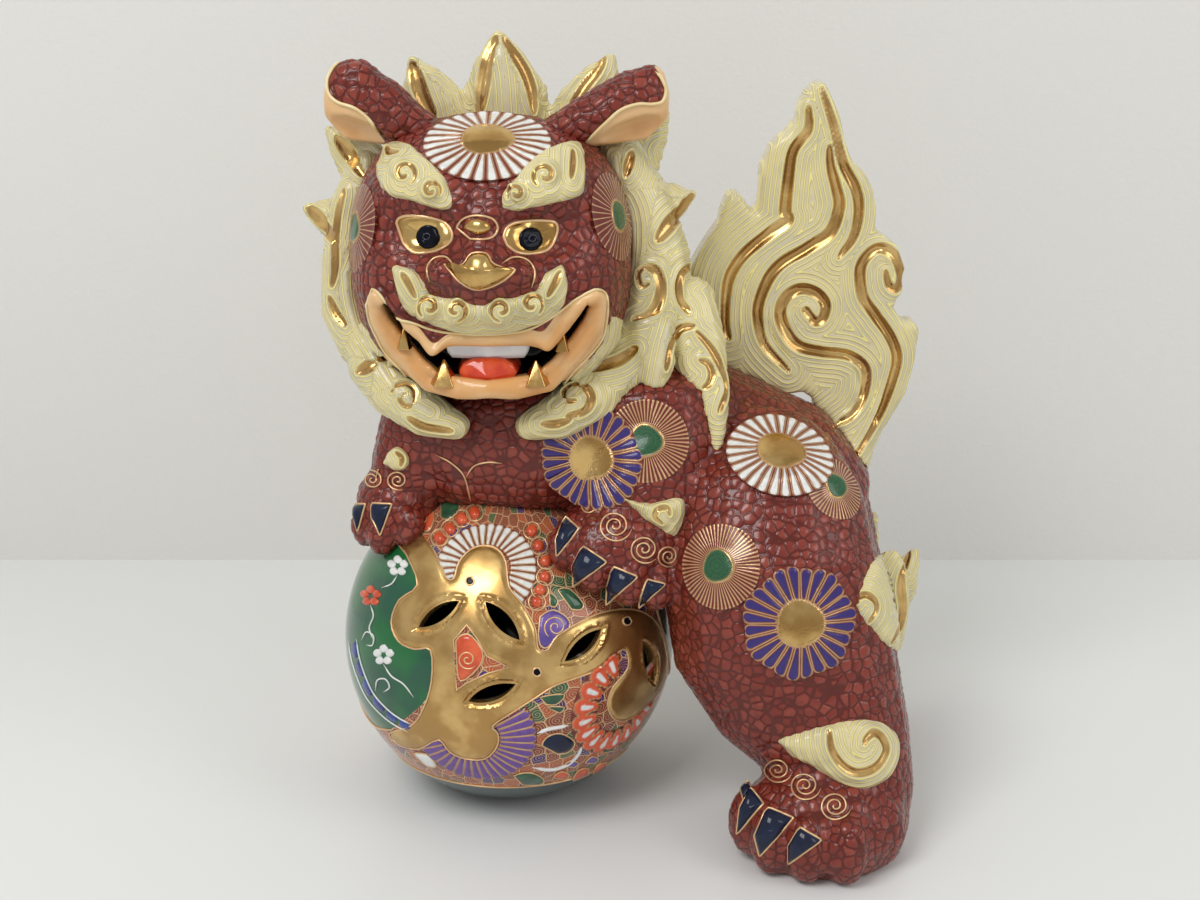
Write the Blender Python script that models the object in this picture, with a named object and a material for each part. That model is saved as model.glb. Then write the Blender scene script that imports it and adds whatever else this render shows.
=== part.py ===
"""A porcelain guardian lion, its forepaws on a pierced ball.

The figure is cast in pieces that are luted together before firing: a torso, four legs, a head with an open
mouth, ears, mane, flame tail, tufts of hair, and small sprigged reliefs. Each piece is its own solid and is cut
back from the pieces that it is luted to, with one luting gap all over. The ball is hollow, because its slits
show the inside. The other castings are solid here.

Sizes are in millimetres and are turned into metres where a mesh is made. +Z is up, and the face looks along -Y.
The lion's own left is the viewer's right, +X.
"""

import math

import bmesh
import bpy
from mathutils import Vector

MM = 0.001

# Clearances and walls of the castings
LUTE_GAP = 0.35
FLAT_ANGLE = 0.25
BALL_WALL = 5.5

# The ball: its centre stands a little lower than its radius, which leaves a flat foot
BALL_RADIUS = 85.5
BALL_FOOT_SINK = 4.1
BALL_X = -52.0
BALL_CENTRE = Vector((BALL_X, 0.0, BALL_RADIUS - BALL_FOOT_SINK))
BALL_TOP = BALL_CENTRE.z + BALL_RADIUS

# The head: an upright rounded block whose widest outline lies in the plane of its centre
HEAD_HALF_WIDTH = 67.0
HEAD_HALF_HEIGHT = 67.0
HEAD_FRONT = 57.0
HEAD_BACK = 36.0
HEAD_SQUARENESS = 2.5
HEAD_ABOVE_BALL = 116.0
HEAD_CENTRE = Vector((BALL_X - 5.0, -10.0, BALL_TOP + HEAD_ABOVE_BALL))
NECK = HEAD_CENTRE + Vector((6, 12, -58))

# The torso hangs below the head and lies along +X behind the ball's top, from the chest to the rump
CHEST_BELOW_HEAD = 93.0
RUMP_BELOW_CHEST = 33.9
CHEST = Vector((BALL_X + 7.0, 2.0, HEAD_CENTRE.z - CHEST_BELOW_HEAD))
RUMP = Vector((90.0, 24.0, CHEST.z - RUMP_BELOW_CHEST))
HIND_STANCE_LEFT = Vector((112.0, -70.0, 0.0))
HIND_STANCE_RIGHT = Vector((133.0, 60.0, 0.0))

# The flame tail: a tall plate with rolled edges, standing behind the rump
TAIL_PLANE = 40.0
TAIL_THICKNESS = 22.0
TAIL_EDGE = 6.0
TAIL_ROOT = Vector((RUMP.x + 33.0, TAIL_PLANE, RUMP.z + 6.0))


def clear_scene():
    for old in list(bpy.data.objects):
        bpy.data.objects.remove(old, do_unlink=True)


def glaze(name, colour, roughness, metallic=0.0):
    """A Principled material with one flat colour."""
    material = bpy.data.materials.new(name)
    material.use_nodes = True
    shader = material.node_tree.nodes["Principled BSDF"]
    shader.inputs["Base Color"].default_value = (*colour, 1.0)
    shader.inputs["Roughness"].default_value = roughness
    shader.inputs["Metallic"].default_value = metallic
    return material


clear_scene()
RED_GLAZE = glaze("red_glaze", (0.30, 0.045, 0.03), 0.22)
CREAM_GLAZE = glaze("cream_glaze", (0.78, 0.68, 0.42), 0.3)
GOLD_LUSTRE = glaze("gold_lustre", (0.62, 0.38, 0.12), 0.25, 1.0)
WHITE_GLAZE = glaze("white_glaze", (0.85, 0.86, 0.84), 0.2)
TONGUE_GLAZE = glaze("tongue_glaze", (0.75, 0.06, 0.02), 0.2)
BALL_GLAZE = glaze("ball_glaze", (0.35, 0.09, 0.05), 0.25)


def into_triangles(mesh):
    """Fixes how each face is split, so that a swollen copy keeps to the same facets."""
    form = bmesh.new()
    form.from_mesh(mesh)
    bmesh.ops.triangulate(form, faces=form.faces)
    form.to_mesh(mesh)
    form.free()


def mesh_object(name, points, faces, material, split=True):
    """A smooth-shaded object from points in millimetres."""
    mesh = bpy.data.meshes.new(name)
    mesh.from_pydata([Vector(p) * MM for p in points], [], faces)
    form = bmesh.new()
    form.from_mesh(mesh)
    bmesh.ops.recalc_face_normals(form, faces=form.faces)
    form.to_mesh(mesh)
    form.free()
    if split:
        into_triangles(mesh)
    mesh.materials.append(material)
    obj = bpy.data.objects.new(name, mesh)
    bpy.context.scene.collection.objects.link(obj)
    mesh.shade_smooth()
    return obj


def spline(stations, steps):
    """Catmull-Rom rows between rows of numbers, so that a few stations give a smooth form."""
    rows = [list(s) for s in stations]
    ends = [rows[0]] + rows + [rows[-1]]
    smooth = []
    for k in range(len(rows) - 1):
        before, here, there, after = ends[k : k + 4]
        for i in range(steps):
            t = i / steps
            row = []
            for a, b, c, d in zip(before, here, there, after):
                bend = (2 * a - 5 * b + 4 * c - d) * t**2 + (3 * b - a - 3 * c + d) * t**3
                row.append(0.5 * (2 * b + (c - a) * t + bend))
            smooth.append(row)
    return smooth + [rows[-1]]


def station(point, across, deep):
    """One row of a loft: a centre and the ring's two half sizes."""
    return (*point, across, deep)


def loft(name, stations, material, sides=14, steps=2, rounding=0.7, caps=(45,)):
    """A closed form through elliptical rings. Each ring is `across` wide in the plane square to Y and `deep`
    along Y, and both ends are rounded caps with a ring at each of the cap angles."""
    rows = spline(stations, steps)
    centres = [Vector(r[:3]) for r in rows]
    points, rings = [], []

    def ring(centre, tangent, across, deep):
        depth_axis = (Vector((0, 1, 0)) - tangent * tangent.y).normalized()
        width_axis = tangent.cross(depth_axis)
        rings.append(len(points))
        for i in range(sides):
            turn = 2 * math.pi * i / sides
            points.append(centre + width_axis * across * math.cos(turn) + depth_axis * deep * math.sin(turn))

    cap_angles = [math.radians(a) for a in caps]
    last = len(rows) - 1
    for k, (centre, row) in enumerate(zip(centres, rows)):
        tangent = (centres[min(k + 1, last)] - centres[max(k - 1, 0)]).normalized()
        bulge = min(row[3], row[4]) * rounding
        if k == 0:
            start_pole = centre - tangent * bulge
            for a in cap_angles:
                drawn_in = math.cos(a)
                ring(centre - tangent * bulge * math.sin(a), tangent, row[3] * drawn_in, row[4] * drawn_in)
        ring(centre, tangent, row[3], row[4])
        if k == last:
            end_pole = centre + tangent * bulge
            for a in reversed(cap_angles):
                drawn_in = math.cos(a)
                ring(centre + tangent * bulge * math.sin(a), tangent, row[3] * drawn_in, row[4] * drawn_in)
    faces = []
    for a, b in zip(rings, rings[1:]):
        faces += [(a + i, a + (i + 1) % sides, b + (i + 1) % sides, b + i) for i in range(sides)]
    poles = len(points)
    points += [start_pole, end_pole]
    faces += [(poles, rings[0] + (i + 1) % sides, rings[0] + i) for i in range(sides)]
    faces += [(poles + 1, rings[-1] + i, rings[-1] + (i + 1) % sides) for i in range(sides)]
    return mesh_object(name, points, faces, material)


def ellipsoid(name, centre, radii, material, segments=14, rings=8, turn=0.0):
    """A stretched sphere, turned about Y by `turn` degrees."""
    form = bmesh.new()
    bmesh.ops.create_uvsphere(form, u_segments=segments, v_segments=rings, radius=1.0)
    angle = math.radians(turn)
    points = []
    for v in form.verts:
        x, y, z = (c * r for c, r in zip(v.co, radii))
        across = x * math.cos(angle) + z * math.sin(angle)
        up = z * math.cos(angle) - x * math.sin(angle)
        points.append(Vector(centre) + Vector((across, y, up)))
    faces = [[v.index for v in f.verts] for f in form.faces]
    form.free()
    return mesh_object(name, points, faces, material)


def prism(name, outline, y_front, y_back, material):
    """An outline of (x, z) points, pushed from y_front to y_back."""
    count = len(outline)
    points = [(x, y_front, z) for x, z in outline] + [(x, y_back, z) for x, z in outline]
    faces = [tuple(range(count)), tuple(range(2 * count - 1, count - 1, -1))]
    faces += [(i, i + count, (i + 1) % count + count, (i + 1) % count) for i in range(count)]
    return mesh_object(name, points, faces, material, split=False)


def bake(obj):
    """Applies the object's modifiers."""
    graph = bpy.context.evaluated_depsgraph_get()
    made = bpy.data.meshes.new_from_object(obj.evaluated_get(graph))
    obj.modifiers.clear()
    obj.data = made
    into_triangles(made)
    made.shade_smooth()


def boolean(obj, tool, operation, keep_tool=False):
    """Runs one exact Boolean and, unless told otherwise, removes the tool."""
    modifier = obj.modifiers.new(operation.lower(), "BOOLEAN")
    modifier.operation = operation
    modifier.object = tool
    bpy.context.view_layer.update()
    bake(obj)
    if not keep_tool:
        bpy.data.objects.remove(tool, do_unlink=True)
    return obj


def cast(name, *forms):
    """Fuses forms into one casting. Returns it with the forms themselves, which its neighbours are cut by."""
    piece = twin(forms[0], name)
    for form in forms[1:]:
        boolean(piece, form, "UNION", keep_tool=True)
    for k, form in enumerate(forms):
        form.name = f"{name}_form_{k}"
    return piece, list(forms)


def grown(obj, by):
    """A hidden copy of the object, `by` millimetres bigger all over."""
    tool = twin(obj, obj.name + "_grown")
    tool.hide_render = True
    swell = tool.modifiers.new("swell", "DISPLACE")
    swell.strength = by * MM
    swell.mid_level = 0.0
    bpy.context.view_layer.update()
    bake(tool)
    return tool


def twin(obj, name):
    """A copy under another name."""
    copy = obj.copy()
    copy.data = obj.data.copy()
    copy.name = name
    bpy.context.scene.collection.objects.link(copy)
    return copy


def keep_largest(obj):
    """Drops the crumbs that a cut leaves, and keeps the main body."""
    form = bmesh.new()
    form.from_mesh(obj.data)
    islands, left = [], set(form.verts)
    while left:
        island, todo = set(), [left.pop()]
        while todo:
            vert = todo.pop()
            island.add(vert)
            for edge in vert.link_edges:
                other = edge.other_vert(vert)
                if other in left:
                    left.remove(other)
                    todo.append(other)
        islands.append(island)
    islands.sort(key=len)
    for island in islands[:-1]:
        bmesh.ops.delete(form, geom=list(island), context="VERTS")
    form.to_mesh(obj.data)
    form.free()
    return obj


def near(a, b):
    """Whether the boxes round two objects meet."""
    boxes = []
    for obj in (a, b):
        corners = [v.co for v in obj.data.vertices]
        boxes.append([(min(c[i] for c in corners), max(c[i] for c in corners)) for i in range(3)])
    slack = 2 * LUTE_GAP * MM
    return all(p[0] < q[1] + slack and q[0] < p[1] + slack for p, q in zip(*boxes))


def seat(obj, forms):
    """Cuts the object back to the forms that it is luted to, less the luting gap."""
    for form in forms:
        if near(obj, form):
            boolean(obj, grown(form, LUTE_GAP), "DIFFERENCE")
    return keep_largest(obj)


def merge_flats(obj):
    """Joins the facets that cuts have split within one plane, where that leaves the solid closed."""
    form = bmesh.new()
    form.from_mesh(obj.data)
    bmesh.ops.remove_doubles(form, verts=form.verts, dist=0.004 * MM)
    bmesh.ops.dissolve_limit(form, angle_limit=math.radians(FLAT_ANGLE), verts=form.verts, edges=form.edges)
    bmesh.ops.triangulate(form, faces=form.faces)
    if all(edge.is_manifold for edge in form.edges):
        form.to_mesh(obj.data)
    form.free()


def cut_at_floor(obj):
    """Grinds the foot flat at Z = 0."""
    reach = max(abs(c) for v in obj.data.vertices for c in v.co) / MM + 20.0
    below = [(-reach, -reach), (reach, -reach), (reach, 0.0), (-reach, 0.0)]
    return boolean(obj, prism("floor_slab", below, -reach, reach, RED_GLAZE), "DIFFERENCE")


# The ball


def on_ball(azimuth, elevation, height=0.0):
    """A point over the ball's surface. Azimuth 0 faces -Y and grows towards +X, both in degrees."""
    a, e = math.radians(azimuth), math.radians(elevation)
    outwards = Vector((math.sin(a) * math.cos(e), -math.cos(a) * math.cos(e), math.sin(e)))
    return BALL_CENTRE + outwards * (BALL_RADIUS + height)


# Where the two forepaws rest
PAW_LEFT = on_ball(52.0, 43.5, 11.0)
PAW_RIGHT = on_ball(-80.0, 54.0, 8.0)

# Each almond slit: azimuth and elevation of its middle, and the slope of its long axis, in degrees
SLITS = [(-23.5, 27.0, 40.0), (0.5, 26.5, -48.0), (-3.0, 3.0, 22.0), (28.5, 16.0, 28.0), (57.0, 2.0, -70.0)]
SLIT_HALF_LENGTH = 12.5
SLIT_HALF_WIDTH = 3.6
SLIT_REPEATS = (0.0, 180.0)


def slit_cutter(azimuth, elevation, slope):
    """An almond prism through the ball's wall: two arcs that meet at points."""
    middle = on_ball(azimuth, elevation)
    outwards = (middle - BALL_CENTRE).normalized()
    level = Vector((0, 0, 1)).cross(outwards).normalized()
    upwards = outwards.cross(level)
    s = math.radians(slope)
    along = level * math.cos(s) + upwards * math.sin(s)
    side = outwards.cross(along)
    arc = [(-math.cos(math.pi * i / 4), math.sin(math.pi * i / 4)) for i in range(5)]
    rim = arc + [(x, -y) for x, y in reversed(arc[1:-1])]
    points = []
    for depth in (BALL_WALL * 1.6, -BALL_WALL * 2.2):
        centre = middle + outwards * depth
        points += [centre + along * x * SLIT_HALF_LENGTH + side * y * SLIT_HALF_WIDTH for x, y in rim]
    count = len(rim)
    faces = [tuple(range(count)), tuple(range(2 * count - 1, count - 1, -1))]
    faces += [(i, i + count, (i + 1) % count + count, (i + 1) % count) for i in range(count)]
    return mesh_object("slit", points, faces, GOLD_LUSTRE)


def make_ball():
    """The pierced ball: a hollow sphere with a flat foot. Returns the shell and the uncut sphere."""
    solid = ellipsoid("ball_solid", BALL_CENTRE, (BALL_RADIUS,) * 3, BALL_GLAZE, 28, 16)
    cut_at_floor(solid)
    shell = twin(solid, "ball_shell")
    hollow = ellipsoid("hollow", BALL_CENTRE, (BALL_RADIUS - BALL_WALL,) * 3, BALL_GLAZE, 16, 9)
    for v in hollow.data.vertices:
        v.co.z = max(v.co.z, BALL_WALL * MM)
    boolean(shell, hollow, "DIFFERENCE")
    for repeat in SLIT_REPEATS:
        for azimuth, elevation, slope in SLITS:
            boolean(shell, slit_cutter(azimuth + repeat, elevation, slope), "DIFFERENCE")
    return shell, solid


# The head


def bell(x, z, middle_x, middle_z, spread_x, spread_z):
    return math.exp(-(((x - middle_x) / spread_x) ** 2) - ((z - middle_z) / spread_z) ** 2)


# Each swelling of the face: sideways place, height, the two spreads and how far it stands out.
# All but the spreads are from the head's centre, and one with a sideways place is made on both sides.
FACE_FORMS = [
    (0.0, 0.0, 27.0, 17.0, 17.0),
    (25.0, 40.0, 22.0, 11.0, 8.0),
    (24.0, 18.0, 14.0, 9.0, -6.0),
    (0.0, 26.0, 9.0, 14.0, 5.0),
    (18.0, 3.0, 8.0, 7.0, 4.0),
    (52.0, -10.0, 13.0, 24.0, 7.0),
    (0.0, -54.0, 34.0, 13.0, 15.0),
]


def head_front(x, z):
    """How far the face stands out of the head's middle plane at (x, z) from its centre."""
    u, v = abs(x) / HEAD_HALF_WIDTH, abs(z) / HEAD_HALF_HEIGHT
    reach = min(1.0, (u**HEAD_SQUARENESS + v**HEAD_SQUARENESS) ** (1 / HEAD_SQUARENESS))
    dome = (1 - reach**HEAD_SQUARENESS) ** (1 / HEAD_SQUARENESS)
    wide, high = HEAD_HALF_WIDTH / 67.0, HEAD_HALF_HEIGHT / 67.0
    swell = 0.0
    for side, up, spread_x, spread_z, out in FACE_FORMS:
        for sign in (1, -1) if side else (1,):
            swell += out * bell(x, z, sign * side * wide, up * high, spread_x * wide, spread_z * high)
    return HEAD_FRONT * dome + swell * min(1.0, dome * 1.6)


def on_face(x, z, out=0.0):
    """A point `out` millimetres in front of the face, at (x, z) from the head's centre."""
    return HEAD_CENTRE + Vector((x, -head_front(x, z) - out, z))


def make_head_block():
    """The head before its mouth is cut: rings of points from the tip of the face to the back of the skull."""
    spokes, front_rings, back_rings = 32, 11, 5
    points, faces = [HEAD_CENTRE + Vector((0, -head_front(0, 0), 0))], []
    reaches = [math.sin(0.5 * math.pi * k / front_rings) for k in range(1, front_rings + 1)]
    rows = [(r, True) for r in reaches]
    rows += [(math.cos(0.5 * math.pi * k / back_rings), False) for k in range(1, back_rings)]
    for reach, front in rows:
        for i in range(spokes):
            turn = 2 * math.pi * i / spokes
            c, s = math.cos(turn), math.sin(turn)
            edge = (abs(c) ** HEAD_SQUARENESS + abs(s) ** HEAD_SQUARENESS) ** (-1 / HEAD_SQUARENESS)
            x, z = HEAD_HALF_WIDTH * c * edge * reach, HEAD_HALF_HEIGHT * s * edge * reach
            y = -head_front(x, z) if front else HEAD_BACK * math.sqrt(1 - reach**2)
            points.append(HEAD_CENTRE + Vector((x, y, z)))
    faces += [(0, 1 + (i + 1) % spokes, 1 + i) for i in range(spokes)]
    for k in range(len(rows) - 1):
        a, b = 1 + k * spokes, 1 + (k + 1) * spokes
        faces += [(a + i, a + (i + 1) % spokes, b + (i + 1) % spokes, b + i) for i in range(spokes)]
    points.append(HEAD_CENTRE + Vector((0, HEAD_BACK, 0)))
    last = 1 + (len(rows) - 1) * spokes
    faces += [(len(points) - 1, last + i, last + (i + 1) % spokes) for i in range(spokes)]
    return mesh_object("head_block", points, faces, RED_GLAZE)


# The mouth's opening and the middle of its lips, right half, from the head's centre: (sideways, up)
MOUTH_HALF = [
    (0, -31), (22, -31), (31, -29), (37, -24), (42, -17), (46, -11),
    (49, -14), (46, -22), (39, -32), (30, -42), (22, -48), (0, -50),
]
LIP_HALF = [
    (0, -29), (22, -28), (34, -23), (42, -14), (48.5, -9.5), (51.5, -13),
    (50, -23), (43, -34), (35, -44), (27, -52.5), (13, -53.5), (0, -52.5),
]
LIP_RADIUS = 4.2
MOUTH_DEPTH = 40.0


def both_halves(half):
    """A closed outline from its right half, whose ends lie on the middle line."""
    return half + [(-x, z) for x, z in reversed(half[1:-1])]


def make_lips():
    """A round roll that follows the mouth over the face."""
    path = [on_face(x, z, -1.0) for x, z in both_halves(LIP_HALF)]
    curve = bpy.data.curves.new("lips", "CURVE")
    curve.dimensions = "3D"
    line = curve.splines.new("POLY")
    line.points.add(len(path) - 1)
    for spot, place in zip(line.points, path):
        spot.co = (*(place * MM), 1.0)
    line.use_cyclic_u = True
    curve.bevel_depth = LIP_RADIUS * MM
    curve.bevel_resolution = 1
    source = bpy.data.objects.new("lips_curve", curve)
    bpy.context.scene.collection.objects.link(source)
    bpy.context.view_layer.update()
    graph = bpy.context.evaluated_depsgraph_get()
    mesh = bpy.data.meshes.new_from_object(source.evaluated_get(graph))
    bpy.data.objects.remove(source, do_unlink=True)
    lips = bpy.data.objects.new("lips", mesh)
    bpy.context.scene.collection.objects.link(lips)
    return lips


def make_head():
    """The head with its open mouth, and its forms before the mouth was cut."""
    head, forms = cast("head", make_head_block(), make_lips())
    outline = [(HEAD_CENTRE.x + x, HEAD_CENTRE.z + z) for x, z in both_halves(MOUTH_HALF)]
    front = HEAD_CENTRE.y - HEAD_FRONT - 60.0
    throat = prism("throat", outline, front, HEAD_CENTRE.y - HEAD_FRONT + MOUTH_DEPTH, RED_GLAZE)
    return boolean(head, throat, "DIFFERENCE"), forms


def make_sprigs(head, ears):
    """The small reliefs pressed on the face, and what stands in the mouth."""
    for side, sign in (("right", -1), ("left", 1)):
        brow = [(14, 33, 6.0), (19, 37, 9.0), (28, 43, 12.0), (38, 50, 11.0), (43, 55, 6.0)]
        rows = [station(on_face(sign * x, z, 1.5), width, 5.0) for x, z, width in brow]
        seat(loft(f"{side}_brow", rows, CREAM_GLAZE, 8, 1), [head, *ears])
        place = on_face(sign * 24, 18, -0.5)
        eye = ellipsoid(f"{side}_eye", place, (13.0, 5.5, 9.0), GOLD_LUSTRE, 12, 6, sign * -6)
        seat(eye, [head])
        fangs = (("front", 20, -50, 8.0, 3.2), ("side", 37.5, -35, 8.5, 3.4))
        for place, x, z, height, radius in fangs:
            root = on_face(sign * x, z, -9.0 if place == "side" else -5.0)
            rows = [station(root, radius, radius), station(root + Vector((0, 0, height)), 0.9, 0.9)]
            seat(loft(f"{side}_{place}_fang", rows, GOLD_LUSTRE, 8, 1, 0.5), [head])
    moustache = [(39, 5, 3.0), (33, -4, 7.5), (22, -11, 9.5), (10, -14, 9.5), (0, -15, 9.0)]
    moustache += [(-x, z, width) for x, z, width in reversed(moustache[:-1])]
    rows = [station(on_face(x, z, 1.0), width, 5.0) for x, z, width in moustache]
    seat(loft("moustache", rows, CREAM_GLAZE, 8, 1), [head])
    nose = ellipsoid("nose", on_face(0, 4, -0.5), (15.5, 6.5, 7.0), GOLD_LUSTRE, 12, 6)
    seat(nose, [head])
    boss = ellipsoid("brow_boss", on_face(-1, 24, -1.0), (8.5, 4.5, 5.5), GOLD_LUSTRE, 10, 6)
    seat(boss, [head])
    gum = on_face(0, -33, -7.0)
    rows = [station(gum + Vector((x, abs(x) * 0.12, 0)), 4.4, 2.6) for x in (-19, -10, 0, 10, 19)]
    seat(loft("upper_teeth", rows, WHITE_GLAZE, 8, 1, 0.6), [head])
    root = HEAD_CENTRE + Vector((0, -HEAD_FRONT + MOUTH_DEPTH - 2.0, -47.0))
    tip = on_face(0, -46, -7.0)
    rows = [station(root, 14.0, 9.0), station((root + tip) / 2, 14.5, 7.5), station(tip, 13.0, 6.5)]
    seat(tongue_loft(rows), [head])


def tongue_loft(rows):
    """The tongue runs towards the viewer, so its rings are laid out in the plane square to Y."""
    points, faces, sides = [], [], 12
    smooth = spline(rows, 2)
    for row in smooth:
        for i in range(sides):
            turn = 2 * math.pi * i / sides
            points.append(Vector(row[:3]) + Vector((row[3] * math.cos(turn), 0, row[4] * math.sin(turn))))
    for k in range(len(smooth) - 1):
        a, b = k * sides, (k + 1) * sides
        faces += [(a + i, a + (i + 1) % sides, b + (i + 1) % sides, b + i) for i in range(sides)]
    last = (len(smooth) - 1) * sides
    tip = Vector(smooth[-1][:3]) + Vector((0, -5.0, -1.0))
    points += [Vector(smooth[0][:3]), tip]
    faces += [(len(points) - 2, (i + 1) % sides, i) for i in range(sides)]
    faces += [(len(points) - 1, last + i, last + (i + 1) % sides) for i in range(sides)]
    return mesh_object("tongue", points, faces, TONGUE_GLAZE)


def make_ear(side, sign):
    """A thick leaf that leans outwards, scooped out below."""
    spread = HEAD_HALF_WIDTH - 67.0
    lift = HEAD_HALF_HEIGHT - 67.0
    reach = 1.1 if side == "left" else 1.0
    run = [(24, 54, 12, 11), (36, 64, 14, 12), (50, 71, 18, 13), (63, 75, 20, 12), (71, 76, 15, 9)]
    rows = [
        station(HEAD_CENTRE + Vector((sign * (x * reach + spread), -4.0, z + lift)), across, deep)
        for x, z, across, deep in run
    ]
    ear, forms = cast(f"{side}_ear", loft("ear_leaf", rows, RED_GLAZE, 12, 1))
    hollow_at = HEAD_CENTRE + Vector((sign * (62 * reach + spread), -17.0, 58 + lift))
    scoop = ellipsoid("scoop", hollow_at, (24.0, 12.0, 9.0), RED_GLAZE, 10, 6, sign * -20)
    return boolean(ear, scoop, "DIFFERENCE"), forms


# The mane

# Each flame of the mane: root and tip from the head's centre, half width and half thickness at the root
MANE_FLAMES = [
    ((8, 24, 48), (3, 25, 103), 22, 12),
    ((-20, 24, 48), (-38, 21, 91), 17, 11),
    ((36, 24, 46), (58, 21, 92), 17, 11),
    ((-50, 24, 26), (-79, 15, 58), 14, 11),
    ((-56, 22, 6), (-92, 15, 20), 14, 11),
    ((54, 24, 30), (84, 15, 66), 16, 12),
    ((60, 22, 14), (97, 15, 27), 15, 12),
    ((62, 20, -10), (92, 15, -6), 14, 12),
    ((-30, 38, 20), (-50, 58, 60), 15, 11),
    ((32, 38, 20), (56, 58, 60), 15, 11),
    ((2, 42, 18), (2, 62, 68), 16, 11),
]
MANE_CAP = Vector((78.0, 36.0, 66.0))
MANE_CAP_BACK = 30.0
# The grooves that part the hair on the back of the cap: (sideways, up) from the head's centre
MANE_GROOVES = [
    [(-29, -37), (-43, -15), (-31, 9), (-45, 35)],
    [(0, -44), (-9, -20), (4, 10), (-1, 44)],
    [(29, -37), (43, -15), (31, 9), (49, 35)],
]
GROOVE_HALF_WIDTH = 2.8
GROOVE_DEPTH = 1.8


def carve(piece, places):
    """Cuts a V groove into a face that looks along Y, by a diamond rod along places on that face."""
    rows = [station(place, GROOVE_HALF_WIDTH, GROOVE_DEPTH) for place in places]
    boolean(piece, loft("groove", rows, GOLD_LUSTRE, 4, 1, 0.7, ()), "DIFFERENCE")


def on_cap(x, z):
    """A point on the back of the mane's cap, from the head's centre."""
    bulge = math.sqrt(max(0.0, 1 - (x / MANE_CAP.x) ** 2 - (z / MANE_CAP.z) ** 2))
    return HEAD_CENTRE + Vector((x, MANE_CAP_BACK + MANE_CAP.y * bulge, z))


def make_mane():
    """The mane casting: a thick cap behind the head, crowned with flames."""
    forms = [ellipsoid("cap", HEAD_CENTRE + Vector((0, MANE_CAP_BACK, 0)), MANE_CAP, CREAM_GLAZE, 16, 9)]
    for k, (root, tip, width, thickness) in enumerate(MANE_FLAMES):
        root, tip = HEAD_CENTRE + Vector(root), HEAD_CENTRE + Vector(tip)
        rows = [
            station(root, width, thickness),
            station(root.lerp(tip, 0.5), width * 0.95, thickness * 0.9),
            station(root.lerp(tip, 0.8), width * 0.55, thickness * 0.6),
            station(tip, 2.0, 2.0),
        ]
        forms.append(loft(f"flame_{k}", rows, CREAM_GLAZE, 6, 1))
    mane, forms = cast("mane_crest", *forms)
    for run in MANE_GROOVES:
        carve(mane, [on_cap(x, z) for x, z in run])
    return mane, forms


# The thick locks round the cheeks and jaw, from the head's centre: place, half width and half thickness
LOCKS = {
    "left_cheek_mane": [
        (60, 14, 50, 9, 12),
        (72, 12, 26, 14, 16),
        (79, 8, -2, 17, 18),
        (77, 2, -28, 18, 18),
        (64, -6, -50, 15, 15),
    ],
    "left_beard": [
        (66, -10, -52, 13, 14),
        (48, -22, -65, 14, 13),
        (30, -31, -74, 11, 10),
        (16, -35, -77, 6, 7),
    ],
    "right_cheek_mane": [
        (-60, 14, 44, 8, 10),
        (-69, 12, 22, 10, 14),
        (-72, 10, -4, 12, 16),
        (-71, 6, -28, 14, 16),
        (-62, -4, -46, 13, 14),
    ],
    "right_beard": [
        (-60, -12, -50, 12, 13),
        (-46, -22, -62, 14, 13),
        (-30, -31, -72, 11, 10),
        (-15, -35, -77, 6, 7),
    ],
    "left_nape_lock": [(76, -14, -34, 12, 10), (79, -20, -50, 9, 8), (78, -22, -70, 2, 2)],
    "left_shoulder_lock": [
        (92, 8, -22, 16, 12),
        (99, -4, -46, 15, 11),
        (105, -16, -72, 10, 8),
        (109, -24, -92, 3, 3),
    ],
}


def make_lock(name):
    rows = [station(HEAD_CENTRE + Vector((x, y, z)), across, deep) for x, y, z, across, deep in LOCKS[name]]
    return cast(name, loft("lock", rows, CREAM_GLAZE, 9, 1))


# The body


def make_torso():
    """The bean-shaped body from chest to rump, with the stump of the neck."""
    rows = [
        station(CHEST + Vector((-50, 3, -2)), 32, 30),
        station(CHEST + Vector((-30, 0, 0)), 42, 40),
        station(CHEST, 47, 46),
        station(CHEST.lerp(RUMP, 0.26) + Vector((0, -2, 13)), 46, 47),
        station(CHEST.lerp(RUMP, 0.52) + Vector((0, 0, 16)), 43, 46),
        station(CHEST.lerp(RUMP, 0.78) + Vector((0, 3, 8)), 43, 48),
        station(RUMP + Vector((-2, 0, 0)), 45, 50),
        station(RUMP + Vector((18, 0, -14)), 37, 40),
    ]
    bean = loft("bean", rows, RED_GLAZE, 18, 1, 0.6, (58, 30))
    return cast("torso", bean, ellipsoid("neck", NECK, (34, 30, 30), RED_GLAZE, 14, 8))


def cast_leg(name, leg, paw_at, radii, toes, toe_radii):
    """A leg with its paw and toes."""
    paw = ellipsoid("paw", paw_at, radii, RED_GLAZE, 12, 8)
    ends = [ellipsoid("toe", Vector(paw_at) + Vector(toe), toe_radii, RED_GLAZE, 8, 5) for toe in toes]
    piece, forms = cast(name, leg, paw, *ends)
    if paw_at.z < 2 * radii[2]:
        cut_at_floor(piece)
    return piece, forms


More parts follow.
